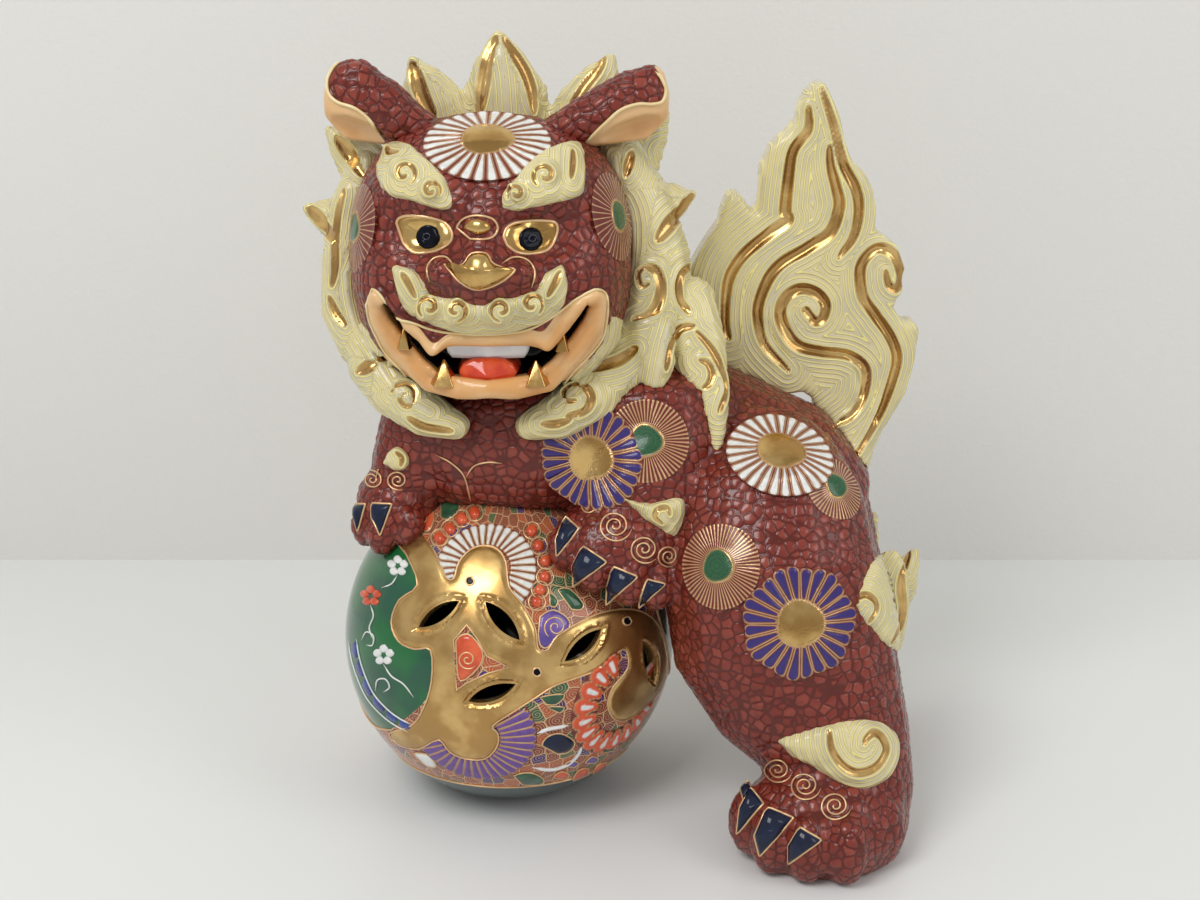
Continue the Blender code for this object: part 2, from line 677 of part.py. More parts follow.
def make_left_hind_leg():
    foot = HIND_STANCE_LEFT
    rows = [
        station(foot + Vector((-34, 62, RUMP.z + 32)), 34, 22),
        station(foot + Vector((-36, 42, RUMP.z + 12)), 48, 34),
        station(foot + Vector((-34, 30, RUMP.z - 21)), 53, 44),
        station(foot + Vector((-28, 22, 100)), 54, 43),
        station(foot + Vector((-14, 16, 72)), 48, 38),
        station(foot + Vector((-1, 10, 48)), 38, 35),
        station(foot + Vector((2, 4, 28)), 36, 35),
        station(foot + Vector((-1, 0, 8)), 35, 36),
    ]
    leg = loft("leg", rows, RED_GLAZE, 16, 1)
    paw_at = foot + Vector((-8, -14, 18))
    toes = [(-36, -4, 2), (-27, -18, 0), (-11, -26, 0), (7, -28, 0)]
    return cast_leg("left_hind_leg", leg, paw_at, (42, 33, 30), toes, (11, 12, 18))


def make_right_hind_leg():
    foot = HIND_STANCE_RIGHT
    rows = [
        station(foot + Vector((-38, -14, RUMP.z + 4)), 30, 22),
        station(foot + Vector((-32, -6, RUMP.z - 21)), 40, 30),
        station(foot + Vector((-24, -4, 104)), 40, 30),
        station(foot + Vector((-8, -2, 72)), 32, 28),
        station(foot + Vector((3, 0, 44)), 27, 27),
        station(foot + Vector((2, 0, 24)), 28, 28),
        station(foot + Vector((0, 0, 8)), 30, 30),
    ]
    leg = loft("leg", rows, RED_GLAZE, 12, 1)
    paw_at = foot + Vector((-6, -4, 16))
    toes = [(-30, -6, 2), (-22, -18, 0), (-9, -25, -1), (6, -26, -1)]
    return cast_leg("right_hind_leg", leg, paw_at, (34, 28, 24), toes, (9, 10, 16))


def make_left_foreleg():
    shoulder = CHEST + Vector((64, -12, 16))
    paw_at = PAW_LEFT
    rows = [
        station(shoulder + Vector((-2, 8, 10)), 30, 22),
        station(shoulder, 39, 32),
        station(shoulder + Vector((2, -8, -20)), 37, 32),
        station(shoulder.lerp(paw_at, 0.62) + Vector((8, 0, 0)), 31, 27),
        station(paw_at + Vector((4, 6, 4)), 26, 22),
    ]
    leg = loft("leg", rows, RED_GLAZE, 12, 1)
    toes = [(-25, -11, 0), (-12, -20, -7), (5, -20, -14), (19, -13, -19)]
    return cast_leg("left_foreleg", leg, paw_at, (32, 25, 21), toes, (9, 10, 12))


def make_right_foreleg():
    shoulder = CHEST + Vector((-43, -10, 4))
    paw_at = PAW_RIGHT
    rows = [
        station(shoulder + Vector((4, 6, 6)), 24, 22),
        station(shoulder, 28, 25),
        station(shoulder.lerp(paw_at, 0.6), 22, 21),
        station(paw_at + Vector((4, 4, 4)), 19, 19),
    ]
    leg = loft("leg", rows, RED_GLAZE, 12, 1)
    toes = [(-16, 4, -10), (-16, -10, -10), (-7, -20, -11), (7, -23, -6)]
    return cast_leg("right_foreleg", leg, paw_at, (22, 25, 20), toes, (8, 8, 11))


# The tail: its flame outline, from the root: (sideways, up), from the rump round the tips and back
TAIL_OUTLINE = [
    (-60, 34), (-74, 56), (-78, 82), (-82, 106), (-75, 118), (-68, 129), (-65, 140), (-61, 146),
    (-56, 141), (-52, 135), (-48, 134), (-47, 146), (-47, 156), (-43, 167), (-35, 174), (-30, 180),
    (-28, 190), (-23, 197), (-18, 200), (-14, 192), (-9, 183), (-7, 171), (-3, 162), (5, 154),
    (9, 146), (11, 136), (11, 125), (17, 122), (23, 116), (27, 106), (26, 94), (22, 86), (27, 78),
    (36, 77), (36, 71), (35, 59), (31, 41), (22, 23), (12, 11), (0, -6), (-22, -12), (-14, 20),
    (-16, 36), (-21, 41), (-34, 40),
]
# The deep grooves that part the flames' hair, the same on both faces: (sideways, up) from the root
TAIL_GROOVES = [
    [(-25, 187), (-32, 166), (-36, 136), (-61, 104), (-64, 70)],
    [(-14, 168), (-8, 138), (-23, 117), (-42, 102), (-47, 83), (-31, 53)],
    [(-7, 160), (2, 136), (-7, 112)],
    [(-13, 88), (-27, 95), (-35, 80), (-21, 64), (1, 60), (9, 41), (-4, 25)],
    [(14, 117), (4, 106), (13, 82), (25, 60), (18, 31), (3, 8)],
]


def make_tail():
    """The flame casting: the outline with its edges rolled over, thick at the root."""
    outline = [(TAIL_ROOT.x + x, TAIL_ROOT.z + z) for x, z in TAIL_OUTLINE]
    half = TAIL_THICKNESS / 2
    plate = prism("plate", outline, TAIL_PLANE - half, TAIL_PLANE + half, CREAM_GLAZE)
    roll = plate.modifiers.new("rolled_edges", "BEVEL")
    roll.width = TAIL_EDGE * MM
    roll.segments = 2
    roll.limit_method = "ANGLE"
    roll.angle_limit = math.radians(60)
    bpy.context.view_layer.update()
    bake(plate)
    root = [
        station(TAIL_ROOT + Vector((-6, -18, -8)), 16, 16),
        station(TAIL_ROOT + Vector((2, -4, 14)), 16, 14),
        station(TAIL_ROOT + Vector((14, 0, 40)), 15, 12),
    ]
    tail, forms = cast("tail", plate, loft("tail_root", root, CREAM_GLAZE, 10, 2))
    for face in (-half, half):
        for run in TAIL_GROOVES:
            carve(tail, [TAIL_ROOT + Vector((x, face, z)) for x, z in run])
    return tail, forms


# The tufts of hair on the legs, from the foot or paw that each belongs to: place, half width and half thickness
TUFTS = {
    "left_elbow_tuft": (
        HIND_STANCE_LEFT,
        [(-4, 50, 88, 15, 11), (26, 68, 90, 17, 11), (41, 78, 106, 10, 7), (49, 84, 121, 2, 2)],
    ),
    "left_ankle_tuft": (HIND_STANCE_LEFT, [(-30, -26, 51, 5, 6), (-14, -27, 52, 10, 9), (8, -25, 54, 17, 10)]),
    "right_elbow_tuft": (
        HIND_STANCE_RIGHT,
        [(-4, 18, 84, 11, 9), (8, 28, 88, 13, 8), (15, 34, 100, 8, 6), (19, 36, 113, 2, 2)],
    ),
    "right_ankle_tuft": (HIND_STANCE_RIGHT, [(-20, 24, 46, 4, 6), (-8, 26, 48, 8, 8), (8, 26, 50, 13, 9)]),
    "left_wrist_tuft": (PAW_LEFT, [(8, -18, 20, 3, 4), (20, -14, 20, 6, 6), (34, -10, 17, 8, 7)]),
    "right_wrist_tuft": (PAW_RIGHT, [(4, -22, 14, 3, 5), (12, -20, 20, 6, 7)]),
}


def make_tuft(name):
    limb, run = TUFTS[name]
    rows = [station(limb + Vector((x, y, z)), across, deep) for x, y, z, across, deep in run]
    return cast(name, loft("tuft", rows, CREAM_GLAZE, 8, 1))


def stand_over_origin():
    """Moves every mesh so that the figure's box stands centred over the origin, on Z = 0."""
    meshes = [obj.data for obj in bpy.data.objects]
    spots = [v.co for mesh in meshes for v in mesh.vertices]
    low, high = ([pick(c[i] for c in spots) for i in range(3)] for pick in (min, max))
    shift = Vector((-(low[0] + high[0]) / 2, -(low[1] + high[1]) / 2, -low[2]))
    for mesh in meshes:
        for v in mesh.vertices:
            v.co += shift


def build():
    """Casts every piece whole, then cuts each to those that it is luted to."""
    ball_shell, ball = make_ball()
    head, head_forms = make_head()
    torso, torso_forms = make_torso()
    luted = {
        "left_hind_leg": make_left_hind_leg(),
        "right_hind_leg": make_right_hind_leg(),
        "left_foreleg": make_left_foreleg(),
        "right_foreleg": make_right_foreleg(),
        "right_ear": make_ear("right", -1),
        "left_ear": make_ear("left", 1),
        "mane_crest": make_mane(),
    }
    luted.update({name: make_lock(name) for name in LOCKS})
    luted["tail"] = make_tail()
    luted.update({name: make_tuft(name) for name in TUFTS})

    seat(torso, [ball])
    seat(head, torso_forms)
    seated_on = [ball] + torso_forms + head_forms
    for piece, forms in luted.values():
        seat(piece, seated_on)
        seated_on += forms
    make_sprigs(head, luted["right_ear"][1] + luted["left_ear"][1])

    for helper in seated_on:
        bpy.data.objects.remove(helper, do_unlink=True)
    for piece in bpy.data.objects:
        merge_flats(piece)
    stand_over_origin()


build()
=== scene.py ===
"""A porcelain guardian lion on a pierced ball, with its glazes, enamels, piped lines and burnished gold."""

import math

import bmesh
import bpy
import numpy as np
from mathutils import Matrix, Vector
from mathutils.bvhtree import BVHTree
from mathutils.kdtree import KDTree


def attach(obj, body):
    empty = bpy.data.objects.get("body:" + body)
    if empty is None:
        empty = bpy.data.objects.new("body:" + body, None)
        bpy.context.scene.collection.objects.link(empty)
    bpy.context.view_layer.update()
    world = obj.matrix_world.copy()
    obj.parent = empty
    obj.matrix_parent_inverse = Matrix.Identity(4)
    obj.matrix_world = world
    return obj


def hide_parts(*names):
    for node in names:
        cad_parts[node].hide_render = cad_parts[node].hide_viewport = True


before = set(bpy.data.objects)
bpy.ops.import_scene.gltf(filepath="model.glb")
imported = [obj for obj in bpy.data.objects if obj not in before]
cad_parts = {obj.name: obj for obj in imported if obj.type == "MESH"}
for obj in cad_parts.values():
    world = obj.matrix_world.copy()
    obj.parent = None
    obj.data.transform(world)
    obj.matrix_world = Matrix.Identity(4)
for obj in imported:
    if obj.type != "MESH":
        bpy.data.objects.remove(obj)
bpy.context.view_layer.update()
bpy.ops.object.select_all(action="DESELECT")

# The view of the photograph: from about 0.8 m in front of the figure and a little above its head.
# Painted details are placed by where they are seen there, on a frame 1200 wide and 900 high.

MM = 0.001
EYE = Vector((-0.01124, -0.80817, 0.430))
DOWNWARDS = math.radians(16.9)
LENS, SENSOR, FRAME_WIDE, FRAME_HIGH = 50.7, 36.0, 1200, 900
REACH = LENS / SENSOR * FRAME_WIDE
AHEAD = Vector((0, math.cos(DOWNWARDS), -math.sin(DOWNWARDS)))
OVERHEAD = Vector((0, math.sin(DOWNWARDS), math.cos(DOWNWARDS)))

lens = bpy.data.cameras.new("view")
lens.lens = LENS
lens.sensor_width = SENSOR
camera = bpy.data.objects.new("view", lens)
camera.location = EYE
camera.rotation_euler = (math.pi / 2 - DOWNWARDS, 0, 0)
bpy.context.scene.collection.objects.link(camera)
bpy.context.scene.camera = camera


def sight(across, down):
    """The direction from the eye through one place of the photograph's frame."""
    right, up = (across - FRAME_WIDE / 2) / REACH, (FRAME_HIGH / 2 - down) / REACH
    return (AHEAD + Vector((right, 0, 0)) + OVERHEAD * up).normalized()


def seen_at(points):
    """Where points in millimetres are seen in the frame."""
    away = points * MM - np.array(EYE)
    depth = away @ np.array(AHEAD)
    across = FRAME_WIDE / 2 + REACH * away[:, 0] / depth
    down = FRAME_HIGH / 2 - REACH * (away @ np.array(OVERHEAD)) / depth
    return np.column_stack((across, down))


# The red body: torso and four legs, luted together from slip castings and covered by one pebbled red glaze.
# The seams vanish under the slip, so the whole body is one skin, and the glaze's pebbles stand up from it.


def spots(obj):
    """The points of a mesh in millimetres."""
    flat = np.empty(len(obj.data.vertices) * 3)
    obj.data.vertices.foreach_get("co", flat)
    return flat.reshape(-1, 3) / MM


def outward(obj):
    """The normals of a mesh's points."""
    flat = np.empty(len(obj.data.vertices) * 3)
    obj.data.vertices.foreach_get("normal", flat)
    return flat.reshape(-1, 3)


def put_spots(obj, points):
    obj.data.vertices.foreach_set("co", (points * MM).ravel())
    obj.data.update()


def mark(obj, name, values):
    """Stores a number or a colour at each point, which a glaze reads as an attribute."""
    values = np.asarray(values, dtype=np.float32)
    layer = obj.data.attributes.new(name, "FLOAT" if values.ndim == 1 else "FLOAT_COLOR", "POINT")
    layer.data.foreach_set("value" if values.ndim == 1 else "color", values.ravel())


def apply_all(obj):
    """Applies the object's modifiers in their order."""
    bpy.context.view_layer.objects.active = obj
    for name in [modifier.name for modifier in obj.modifiers]:
        bpy.ops.object.modifier_apply(modifier=name)


def reskin(obj, voxel, rounds):
    """Turns an object into one even, closed skin of `voxel` millimetres, smoothed by `rounds` of easing."""
    weld = obj.modifiers.new("skin", "REMESH")
    weld.mode = "VOXEL"
    weld.voxel_size = voxel * MM
    ease = obj.modifiers.new("ease", "SMOOTH")
    ease.factor = 0.5
    ease.iterations = rounds
    apply_all(obj)
    obj.data.shade_smooth()
    return obj


SEAM_REACH = 0.01


def skin_over(name, nodes, voxel, rounds, swell=0.4):
    """One closed skin over copies of castings, with the seams between them filled by `swell` of slip."""
    bpy.ops.object.select_all(action="DESELECT")
    for node in nodes:
        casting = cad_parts[node].copy()
        casting.data = casting.data.copy()
        casting.parent = None
        bpy.context.scene.collection.objects.link(casting)
        casting.hide_set(False)
        casting.select_set(True)
        bpy.context.view_layer.objects.active = casting
    if len(nodes) > 1:
        bpy.ops.object.join()
    skin = bpy.context.view_layer.objects.active
    skin.select_set(False)
    skin.name = skin.data.name = name
    skin.data.materials.clear()
    form = bmesh.new()
    form.from_mesh(skin.data)
    bmesh.ops.remove_doubles(form, verts=form.verts, dist=SEAM_REACH * MM)
    form.to_mesh(skin.data)
    form.free()
    fill = skin.modifiers.new("slip", "DISPLACE")
    fill.strength = swell * MM
    fill.mid_level = 0.0
    return reskin(skin, voxel, rounds)


def tree_of(obj):
    """A search tree of an object's surface, in metres."""
    return BVHTree.FromObject(obj, bpy.context.evaluated_depsgraph_get())


def node(net, kind, inputs=None, **settings):
    """A node with its settings and inputs. An input that is another node's output is linked to it."""
    made = net.nodes.new(kind)
    for key, value in settings.items():
        setattr(made, key, value)
    for key, value in (inputs or {}).items():
        if isinstance(value, bpy.types.NodeSocket):
            net.links.new(value, made.inputs[key])
        else:
            made.inputs[key].default_value = value
    return made


def sums(net, operation, *terms):
    """A Math node on numbers or outputs."""
    made = node(net, "ShaderNodeMath", dict(enumerate(terms)), operation=operation)
    return made.outputs[0]


def ease_between(net, value, low, high):
    """0 below `low`, 1 above `high` and a smooth step between them. A high below the low turns it round."""
    inputs = {"Value": value, "From Min": min(low, high), "From Max": max(low, high)}
    if high < low:
        inputs.update({"To Min": 1.0, "To Max": 0.0})
    return node(net, "ShaderNodeMapRange", inputs, interpolation_type="SMOOTHSTEP").outputs[0]


def mixed(net, share, first, second):
    """A colour between two colours or outputs."""
    first, second = ((*c, 1) if isinstance(c, tuple) else c for c in (first, second))
    return node(net, "ShaderNodeMixRGB", {0: share, 1: first, 2: second}).outputs[0]


def attribute(net, name, output="Fac"):
    return node(net, "ShaderNodeAttribute", attribute_name=name).outputs[output]


def object_place(net):
    return node(net, "ShaderNodeTexCoord").outputs["Object"]


def clouds(net, place, scale, detail=2.0):
    """Soft clouds from 0 to 1, `scale` of them to the metre."""
    return node(net, "ShaderNodeTexNoise", {"Vector": place, "Scale": scale, "Detail": detail}).outputs["Fac"]


def group_of(name, inputs, outputs):
    """A new shader group with its named sockets. Returns it, what comes into it and what it puts out."""
    net = bpy.data.node_groups.new(name, "ShaderNodeTree")
    for sockets, way in ((inputs, "INPUT"), (outputs, "OUTPUT")):
        for socket, kind in sockets.items():
            net.interface.new_socket(socket, in_out=way, socket_type="NodeSocket" + kind)
    return net, net.nodes.new("NodeGroupInput").outputs, net.nodes.new("NodeGroupOutput").inputs


def roughen(net, shader, height, strength, rise):
    """Bumps a shader by a height from 0 to 1 that stands for `rise` millimetres."""
    bump = node(net, "ShaderNodeBump", {"Strength": strength, "Distance": rise * MM, "Height": height})
    net.links.new(bump.outputs["Normal"], shader.inputs["Normal"])


COAT_ROUGHNESS = 0.05
GLAZE_SPECULAR = 0.35


def glaze(name, roughness, coat=0.0):
    """A new material with a shiny shader. Returns it with its net and its shader."""
    material = bpy.data.materials.new(name)
    material.use_nodes = True
    shader = material.node_tree.nodes["Principled BSDF"]
    shader.inputs["Roughness"].default_value = roughness
    shader.inputs["Coat Weight"].default_value = coat
    shader.inputs["Coat Roughness"].default_value = COAT_ROUGHNESS
    shader.inputs["Specular IOR Level"].default_value = GLAZE_SPECULAR
    return material, material.node_tree, shader


PEBBLE_GRID = {"Scale": 195.0, "Randomness": 0.75}
PEBBLE_RISE = 0.4
PEBBLE_EDGE = 0.19
PEBBLE_SOFTNESS = 0.25


def pebble_height(net, place):
    """The glaze's pebbles as a height from 0 in the gaps to 1. Shape and colour both come from it."""
    grid = {"Vector": place, **PEBBLE_GRID}
    edge = node(net, "ShaderNodeTexVoronoi", grid, feature="DISTANCE_TO_EDGE").outputs["Distance"]
    grid["Smoothness"] = PEBBLE_SOFTNESS
    middle = node(net, "ShaderNodeTexVoronoi", grid, feature="SMOOTH_F1").outputs["Distance"]
    flat = ease_between(net, edge, 0.0, PEBBLE_EDGE)
    return sums(net, "MULTIPLY", flat, ease_between(net, middle, 0.95, 0.45))


def pebble_rise():
    """Moves the points of a skin out by the pebbles' height, where the skin is marked as pebbled."""
    net = bpy.data.node_groups.new("pebbles", "GeometryNodeTree")
    for way in ("INPUT", "OUTPUT"):
        net.interface.new_socket("Geometry", in_out=way, socket_type="NodeSocketGeometry")
    source, result = net.nodes.new("NodeGroupInput"), net.nodes.new("NodeGroupOutput")
    place = net.nodes.new("GeometryNodeInputPosition").outputs[0]
    share = node(net, "GeometryNodeInputNamedAttribute", {"Name": "pebbled"}, data_type="FLOAT").outputs[0]
    rise = sums(net, "MULTIPLY", pebble_height(net, place), sums(net, "MULTIPLY", share, PEBBLE_RISE * MM))
    facing = net.nodes.new("GeometryNodeInputNormal").outputs[0]
    offset = node(net, "ShaderNodeVectorMath", {0: facing, "Scale": rise}, operation="SCALE")
    moved = node(net, "GeometryNodeSetPosition", {"Geometry": source.outputs[0], "Offset": offset.outputs[0]})
    net.links.new(moved.outputs[0], result.inputs[0])
    return net


pebbles = pebble_rise()


def raise_pebbles(obj):
    obj.modifiers.new("pebbles", "NODES").node_group = pebbles
    apply_all(obj)


MAROON = (0.105, 0.014, 0.009)
BRICK = (0.190, 0.027, 0.017)
BRICK_PALE = (0.270, 0.052, 0.034)


def pebbled_red():
    """The group that gives the red glaze's colour and the height of its pebbles."""
    net, given, made = group_of("pebbled_red", {"Place": "Vector"}, {"Colour": "Color", "Height": "Float"})
    height = pebble_height(net, given["Place"])
    tints = node(net, "ShaderNodeTexVoronoi", {"Vector": given["Place"], **PEBBLE_GRID}).outputs["Color"]
    tint = sums(net, "MULTIPLY", tints, clouds(net, given["Place"], 260.0, 4.0))
    body = mixed(net, ease_between(net, tint, 0.1, 0.5), BRICK, BRICK_PALE)
    net.links.new(mixed(net, ease_between(net, height, 0.0, 0.75), MAROON, body), made["Colour"])
    net.links.new(height, made["Height"])
    return net


red_paint = pebbled_red()


def pebbled_paint(net):
    """The red glaze's colour and pebble height, as outputs of its group."""
    made = node(net, "ShaderNodeGroup", {"Place": object_place(net)}, node_tree=red_paint).outputs
    return made["Colour"], made["Height"]


def pebbled_glaze():
    """Thick glossy brick-red glaze over maroon, which draws up into pebbles."""
    material, net, shader = glaze("pebbled_red_glaze", roughness=0.18, coat=0.1)
    colour, height = pebbled_paint(net)
    net.links.new(colour, shader.inputs["Base Color"])
    roughen(net, shader, height, strength=0.7, rise=0.5)
    return material


RED_NODES = ["torso", "left_foreleg", "right_foreleg", "left_hind_leg", "right_hind_leg"]
BARE_EDGE = 2.0
body = skin_over("body_skin", RED_NODES, voxel=1.6, rounds=14)
stood = spots(body)
stood[:, 2] = np.maximum(stood[:, 2], 0.0)
put_spots(body, stood)
body_tree = tree_of(body)
mark(body, "pebbled", np.clip(stood[:, 2] / BARE_EDGE, 0, 1))
raise_pebbles(body)
body.data.materials.append(pebbled_glaze())
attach(body, "root")
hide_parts(*RED_NODES)

# The painted flowers on the body: each is a disc of thick enamel laid over the red glaze, with petals
# of raised colour, piped gold lines round them and a burnished gold or green eye.

ENAMEL_WHITE = (0.80, 0.80, 0.77)
ENAMEL_BLUE = (0.042, 0.026, 0.17)
ENAMEL_VIOLET = (0.16, 0.075, 0.31)
ENAMEL_GREEN = (0.030, 0.115, 0.050)
ENAMEL_ORANGE = (0.72, 0.10, 0.035)
ENAMEL_NAVY = (0.010, 0.014, 0.035)
ENAMEL_NAVY_PALE = (0.012, 0.020, 0.050)
FLOWER_GROUND = (0.17, 0.026, 0.020)
PIPED_GOLD = (0.74, 0.47, 0.25)
PIPED_GOLD_PALE = (0.80, 0.55, 0.30)
FERN_GOLD = (0.80, 0.52, 0.30)
GOLD = (0.45, 0.26, 0.080)
GOLD_PALE = (0.68, 0.45, 0.17)


CLOUDED_INPUTS = {
    "Place": "Vector", "Scale": "Float", "Detail": "Float", "Low": "Float", "High": "Float", "Thick": "Color",
    "Thin": "Color",
}


def clouded_tone():
    """The group that gives a colour between two, in soft clouds."""
    net, given, made = group_of("clouded_tone", CLOUDED_INPUTS, {"Colour": "Color"})
    cloud = clouds(net, given["Place"], given["Scale"], given["Detail"])
    shares = {"Value": cloud, "From Min": given["Low"], "From Max": given["High"]}
    share = node(net, "ShaderNodeMapRange", shares, interpolation_type="SMOOTHSTEP").outputs[0]
    net.links.new(mixed(net, share, given["Thick"], given["Thin"]), made["Colour"])
    return net


tone_clouds = clouded_tone()


def clouded(net, place, thick, thin, scale, low, high, detail=2.0):
    """A colour that goes from `thick` to `thin` where soft clouds go from `low` to `high`."""
    thick, thin = ((*c, 1) if isinstance(c, tuple) else c for c in (thick, thin))
    inputs = dict(zip(CLOUDED_INPUTS, (place, scale, detail, low, high, thick, thin)))
    return node(net, "ShaderNodeGroup", inputs, node_tree=tone_clouds).outputs["Colour"]


def gold_tone(net, place):
    """Burnished gold: where the brush laid it thin it is paler."""
    return clouded(net, place, GOLD, GOLD_PALE, scale=55.0, low=0.4, high=0.65, detail=3.0)


def enamel_glaze():
    """Thick glossy enamel colours, which pool slightly, and gold where the skin is marked as gilt."""
    material, net, shader = glaze("enamel_paint", roughness=0.18, coat=0.15)
    place = object_place(net)
    pool = clouds(net, place, 420.0)
    depth = ease_between(net, pool, -0.9, 0.75)
    pooled = node(net, "ShaderNodeHueSaturation", {"Color": attribute(net, "paint", "Color"), "Value": depth})
    gilt = attribute(net, "gilt")
    net.links.new(mixed(net, gilt, pooled.outputs[0], gold_tone(net, place)), shader.inputs["Base Color"])
    net.links.new(gilt, shader.inputs["Metallic"])
    roughen(net, shader, pool, strength=0.35, rise=0.3)
    return material


enamel = enamel_glaze()


def burnished_gold():
    """Gold burnished over the glaze, a little cloudy."""
    material, net, shader = glaze("burnished_gold", roughness=0.2)
    place = object_place(net)
    net.links.new(gold_tone(net, place), shader.inputs["Base Color"])
    net.links.new(ease_between(net, clouds(net, place, 300.0, 3.0), -0.4, 2.6), shader.inputs["Roughness"])
    shader.inputs["Metallic"].default_value = 1.0
    return material


gold = burnished_gold()


def piped_gold():
    """Matt-bright gold over the piped slip lines, which catches less light than the burnished grounds."""
    material, net, shader = glaze("piped_gold", roughness=0.3)
    tone = clouded(net, object_place(net), PIPED_GOLD, PIPED_GOLD_PALE, scale=200.0, low=0.3, high=0.7)
    net.links.new(tone, shader.inputs["Base Color"])
    shader.inputs["Metallic"].default_value = 0.55
    return material


line_gold = piped_gold()


def shaped(name, points, faces, material):
    """A smooth-shaded object from points in millimetres, riding on the figure."""
    mesh = bpy.data.meshes.new(name)
    mesh.from_pydata((np.asarray(points) * MM).tolist(), [], faces)
    form = bmesh.new()
    form.from_mesh(mesh)
    bmesh.ops.recalc_face_normals(form, faces=form.faces)
    form.to_mesh(mesh)
    form.free()
    mesh.materials.append(material)
    mesh.shade_smooth()
    obj = bpy.data.objects.new(name, mesh)
    bpy.context.scene.collection.objects.link(obj)
    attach(obj, "root")
    return obj


# How far the figure is from the eye, and from a start behind it, in metres
EYE_AWAY, START_BEHIND, START_AWAY = 0.84, 0.5, 0.45
FORWARDS = Vector((0, -1, 0))


def touch(tree, place, behind=False):
    """Where a look through a place of the frame meets a surface, or the nearest point of it, and its normal.
    From behind, a place is (sideways, up) from the origin in millimetres."""
    if behind:
        start, ray, away = Vector((place[0] * MM, START_BEHIND, place[1] * MM)), FORWARDS, START_AWAY
    else:
        start, ray, away = EYE, sight(*place), EYE_AWAY
    hit, normal, _, _ = tree.ray_cast(start, ray)
    if hit is None:
        hit, normal, _, _ = tree.find_nearest(start + ray * away)
    return np.array(hit) / MM, np.array(normal)


DRAPE_FROM, DRAPE_REACH = 14.0, 45.0


def draped(tree, points, facing, rise):
    """Points moved along a direction on to a surface, then out by `rise`. Returns them and the normals."""
    inward = Vector(-facing)
    places, normals = [], []
    for point, up in zip(points, np.broadcast_to(rise, len(points))):
        start = Vector((point + facing * DRAPE_FROM) * MM)
        hit, normal, _, _ = tree.ray_cast(start, inward, DRAPE_REACH * MM)
        if hit is None:
            hit, normal, _, _ = tree.find_nearest(Vector(point * MM))
        places.append(np.array(hit) / MM + np.array(normal) * up)
        normals.append(np.array(normal))
    return np.array(places), np.array(normals)


EASE_ROUNDS, EASE_ASIDE = 90, 6


def eased_disc(skin, flat, facing, rings):
    """A disc's points moved out along `facing`, so that it bridges creases of the surface under it."""
    out = ((skin - flat) @ facing).reshape(rings, -1)
    eased = out.copy()
    for _ in range(EASE_ROUNDS):
        wider = np.vstack((np.full((1, out.shape[1]), eased[0].mean()), eased, eased[-1:]))
        aside = np.roll(eased, EASE_ASIDE, axis=1) + np.roll(eased, -EASE_ASIDE, axis=1)
        eased = (wider[:-2] + wider[2:] + aside) / 4
    return skin + np.outer(np.maximum(eased - out, 0).ravel(), facing)


def disc_faces(rings, spokes):
    """Faces of a closed disc: point 0, rings of points from it over the rim, then the point underneath."""
    faces = [(0, 1 + (i + 1) % spokes, 1 + i) for i in range(spokes)]
    for k in range(rings - 1):
        a, b = 1 + k * spokes, 1 + (k + 1) * spokes
        faces += [(a + i, a + (i + 1) % spokes, b + (i + 1) % spokes, b + i) for i in range(spokes)]
    last = 1 + (rings - 1) * spokes
    return faces + [(last + spokes, last + i, last + (i + 1) % spokes) for i in range(spokes)]


PETAL_RISE, PIPING_RISE, PETAL_EDGE = 0.6, 0.45, 0.3
INNER_SHARE, DOT_SHARE = 0.36, 1.6


def waved(turn, ragged):
    """A flower's edge by angle, where 1 is its radius."""
    return 1.0 + ragged * np.sin(turn * 7 + 1.0)


def blended(under, share, over_it):
    """Colours with a share of others laid over them."""
    return under * (1 - share)[:, None] + over_it


def petals_at(turn, far, radius, petals, colour, foot, widths, inner=None, ragged=0.0, piping=0.22,
              margin=0.0, dots=False, relief=1.0):
    """Colours, share of gold and relief of a ring of petals, by angle and distance from the flower's middle.
    Each petal is a drop from `foot` outwards with half widths `widths`. `inner` colours a drop inside it, and
    `margin` is the ground left bare between a petal's colour and its piped outline."""
    edge = radius * waved(turn, ragged)
    share = ((turn / (2 * math.pi) * petals) % 1.0) - 0.5
    aside = np.abs(share) * 2 * math.pi * far / petals
    near, tip = foot + widths[0] + 0.5, edge - widths[1] - 0.5
    held = np.clip(far, near, tip)
    wide = widths[0] + (widths[1] - widths[0]) * (held - near) / (tip - near)
    petal = np.hypot(aside, far - held) - wide
    if dots:
        petal = np.minimum(petal, np.hypot(aside, far - tip) - wide * DOT_SHARE)
    inside = np.clip(0.5 - (petal + margin) / PETAL_EDGE, 0, 1)
    piped = np.exp(-(((petal - 0.25) / piping) ** 2)) if piping else inside
    paint = np.outer(1 - inside, FLOWER_GROUND) + np.outer(inside, colour)
    if inner is not None:
        drop = np.hypot(aside, far - np.clip(far, near + 1.5, tip)) - wide * INNER_SHARE
        drop = np.clip(-drop / PETAL_EDGE, 0, 1)
        paint = blended(paint, drop, np.outer(drop, inner))
    paint = blended(paint, piped, np.outer(piped, PIPED_GOLD))
    height = PETAL_RISE * np.clip(-(petal + margin) / 0.9, 0, 1) ** 0.5 * inside + PIPING_RISE * piped
    return paint, piped * 0.4, height * relief


def flower_axes(facing):
    """Directions along a flower's disc: level to the right, and up."""
    level = np.cross((0, 0, 1), facing)
    level /= np.linalg.norm(level)
    return level, np.cross(facing, level)


def paint_marks(obj, paint, gilt):
    mark(obj, "paint", np.column_stack((paint, np.ones(len(paint)))))
    mark(obj, "gilt", gilt)


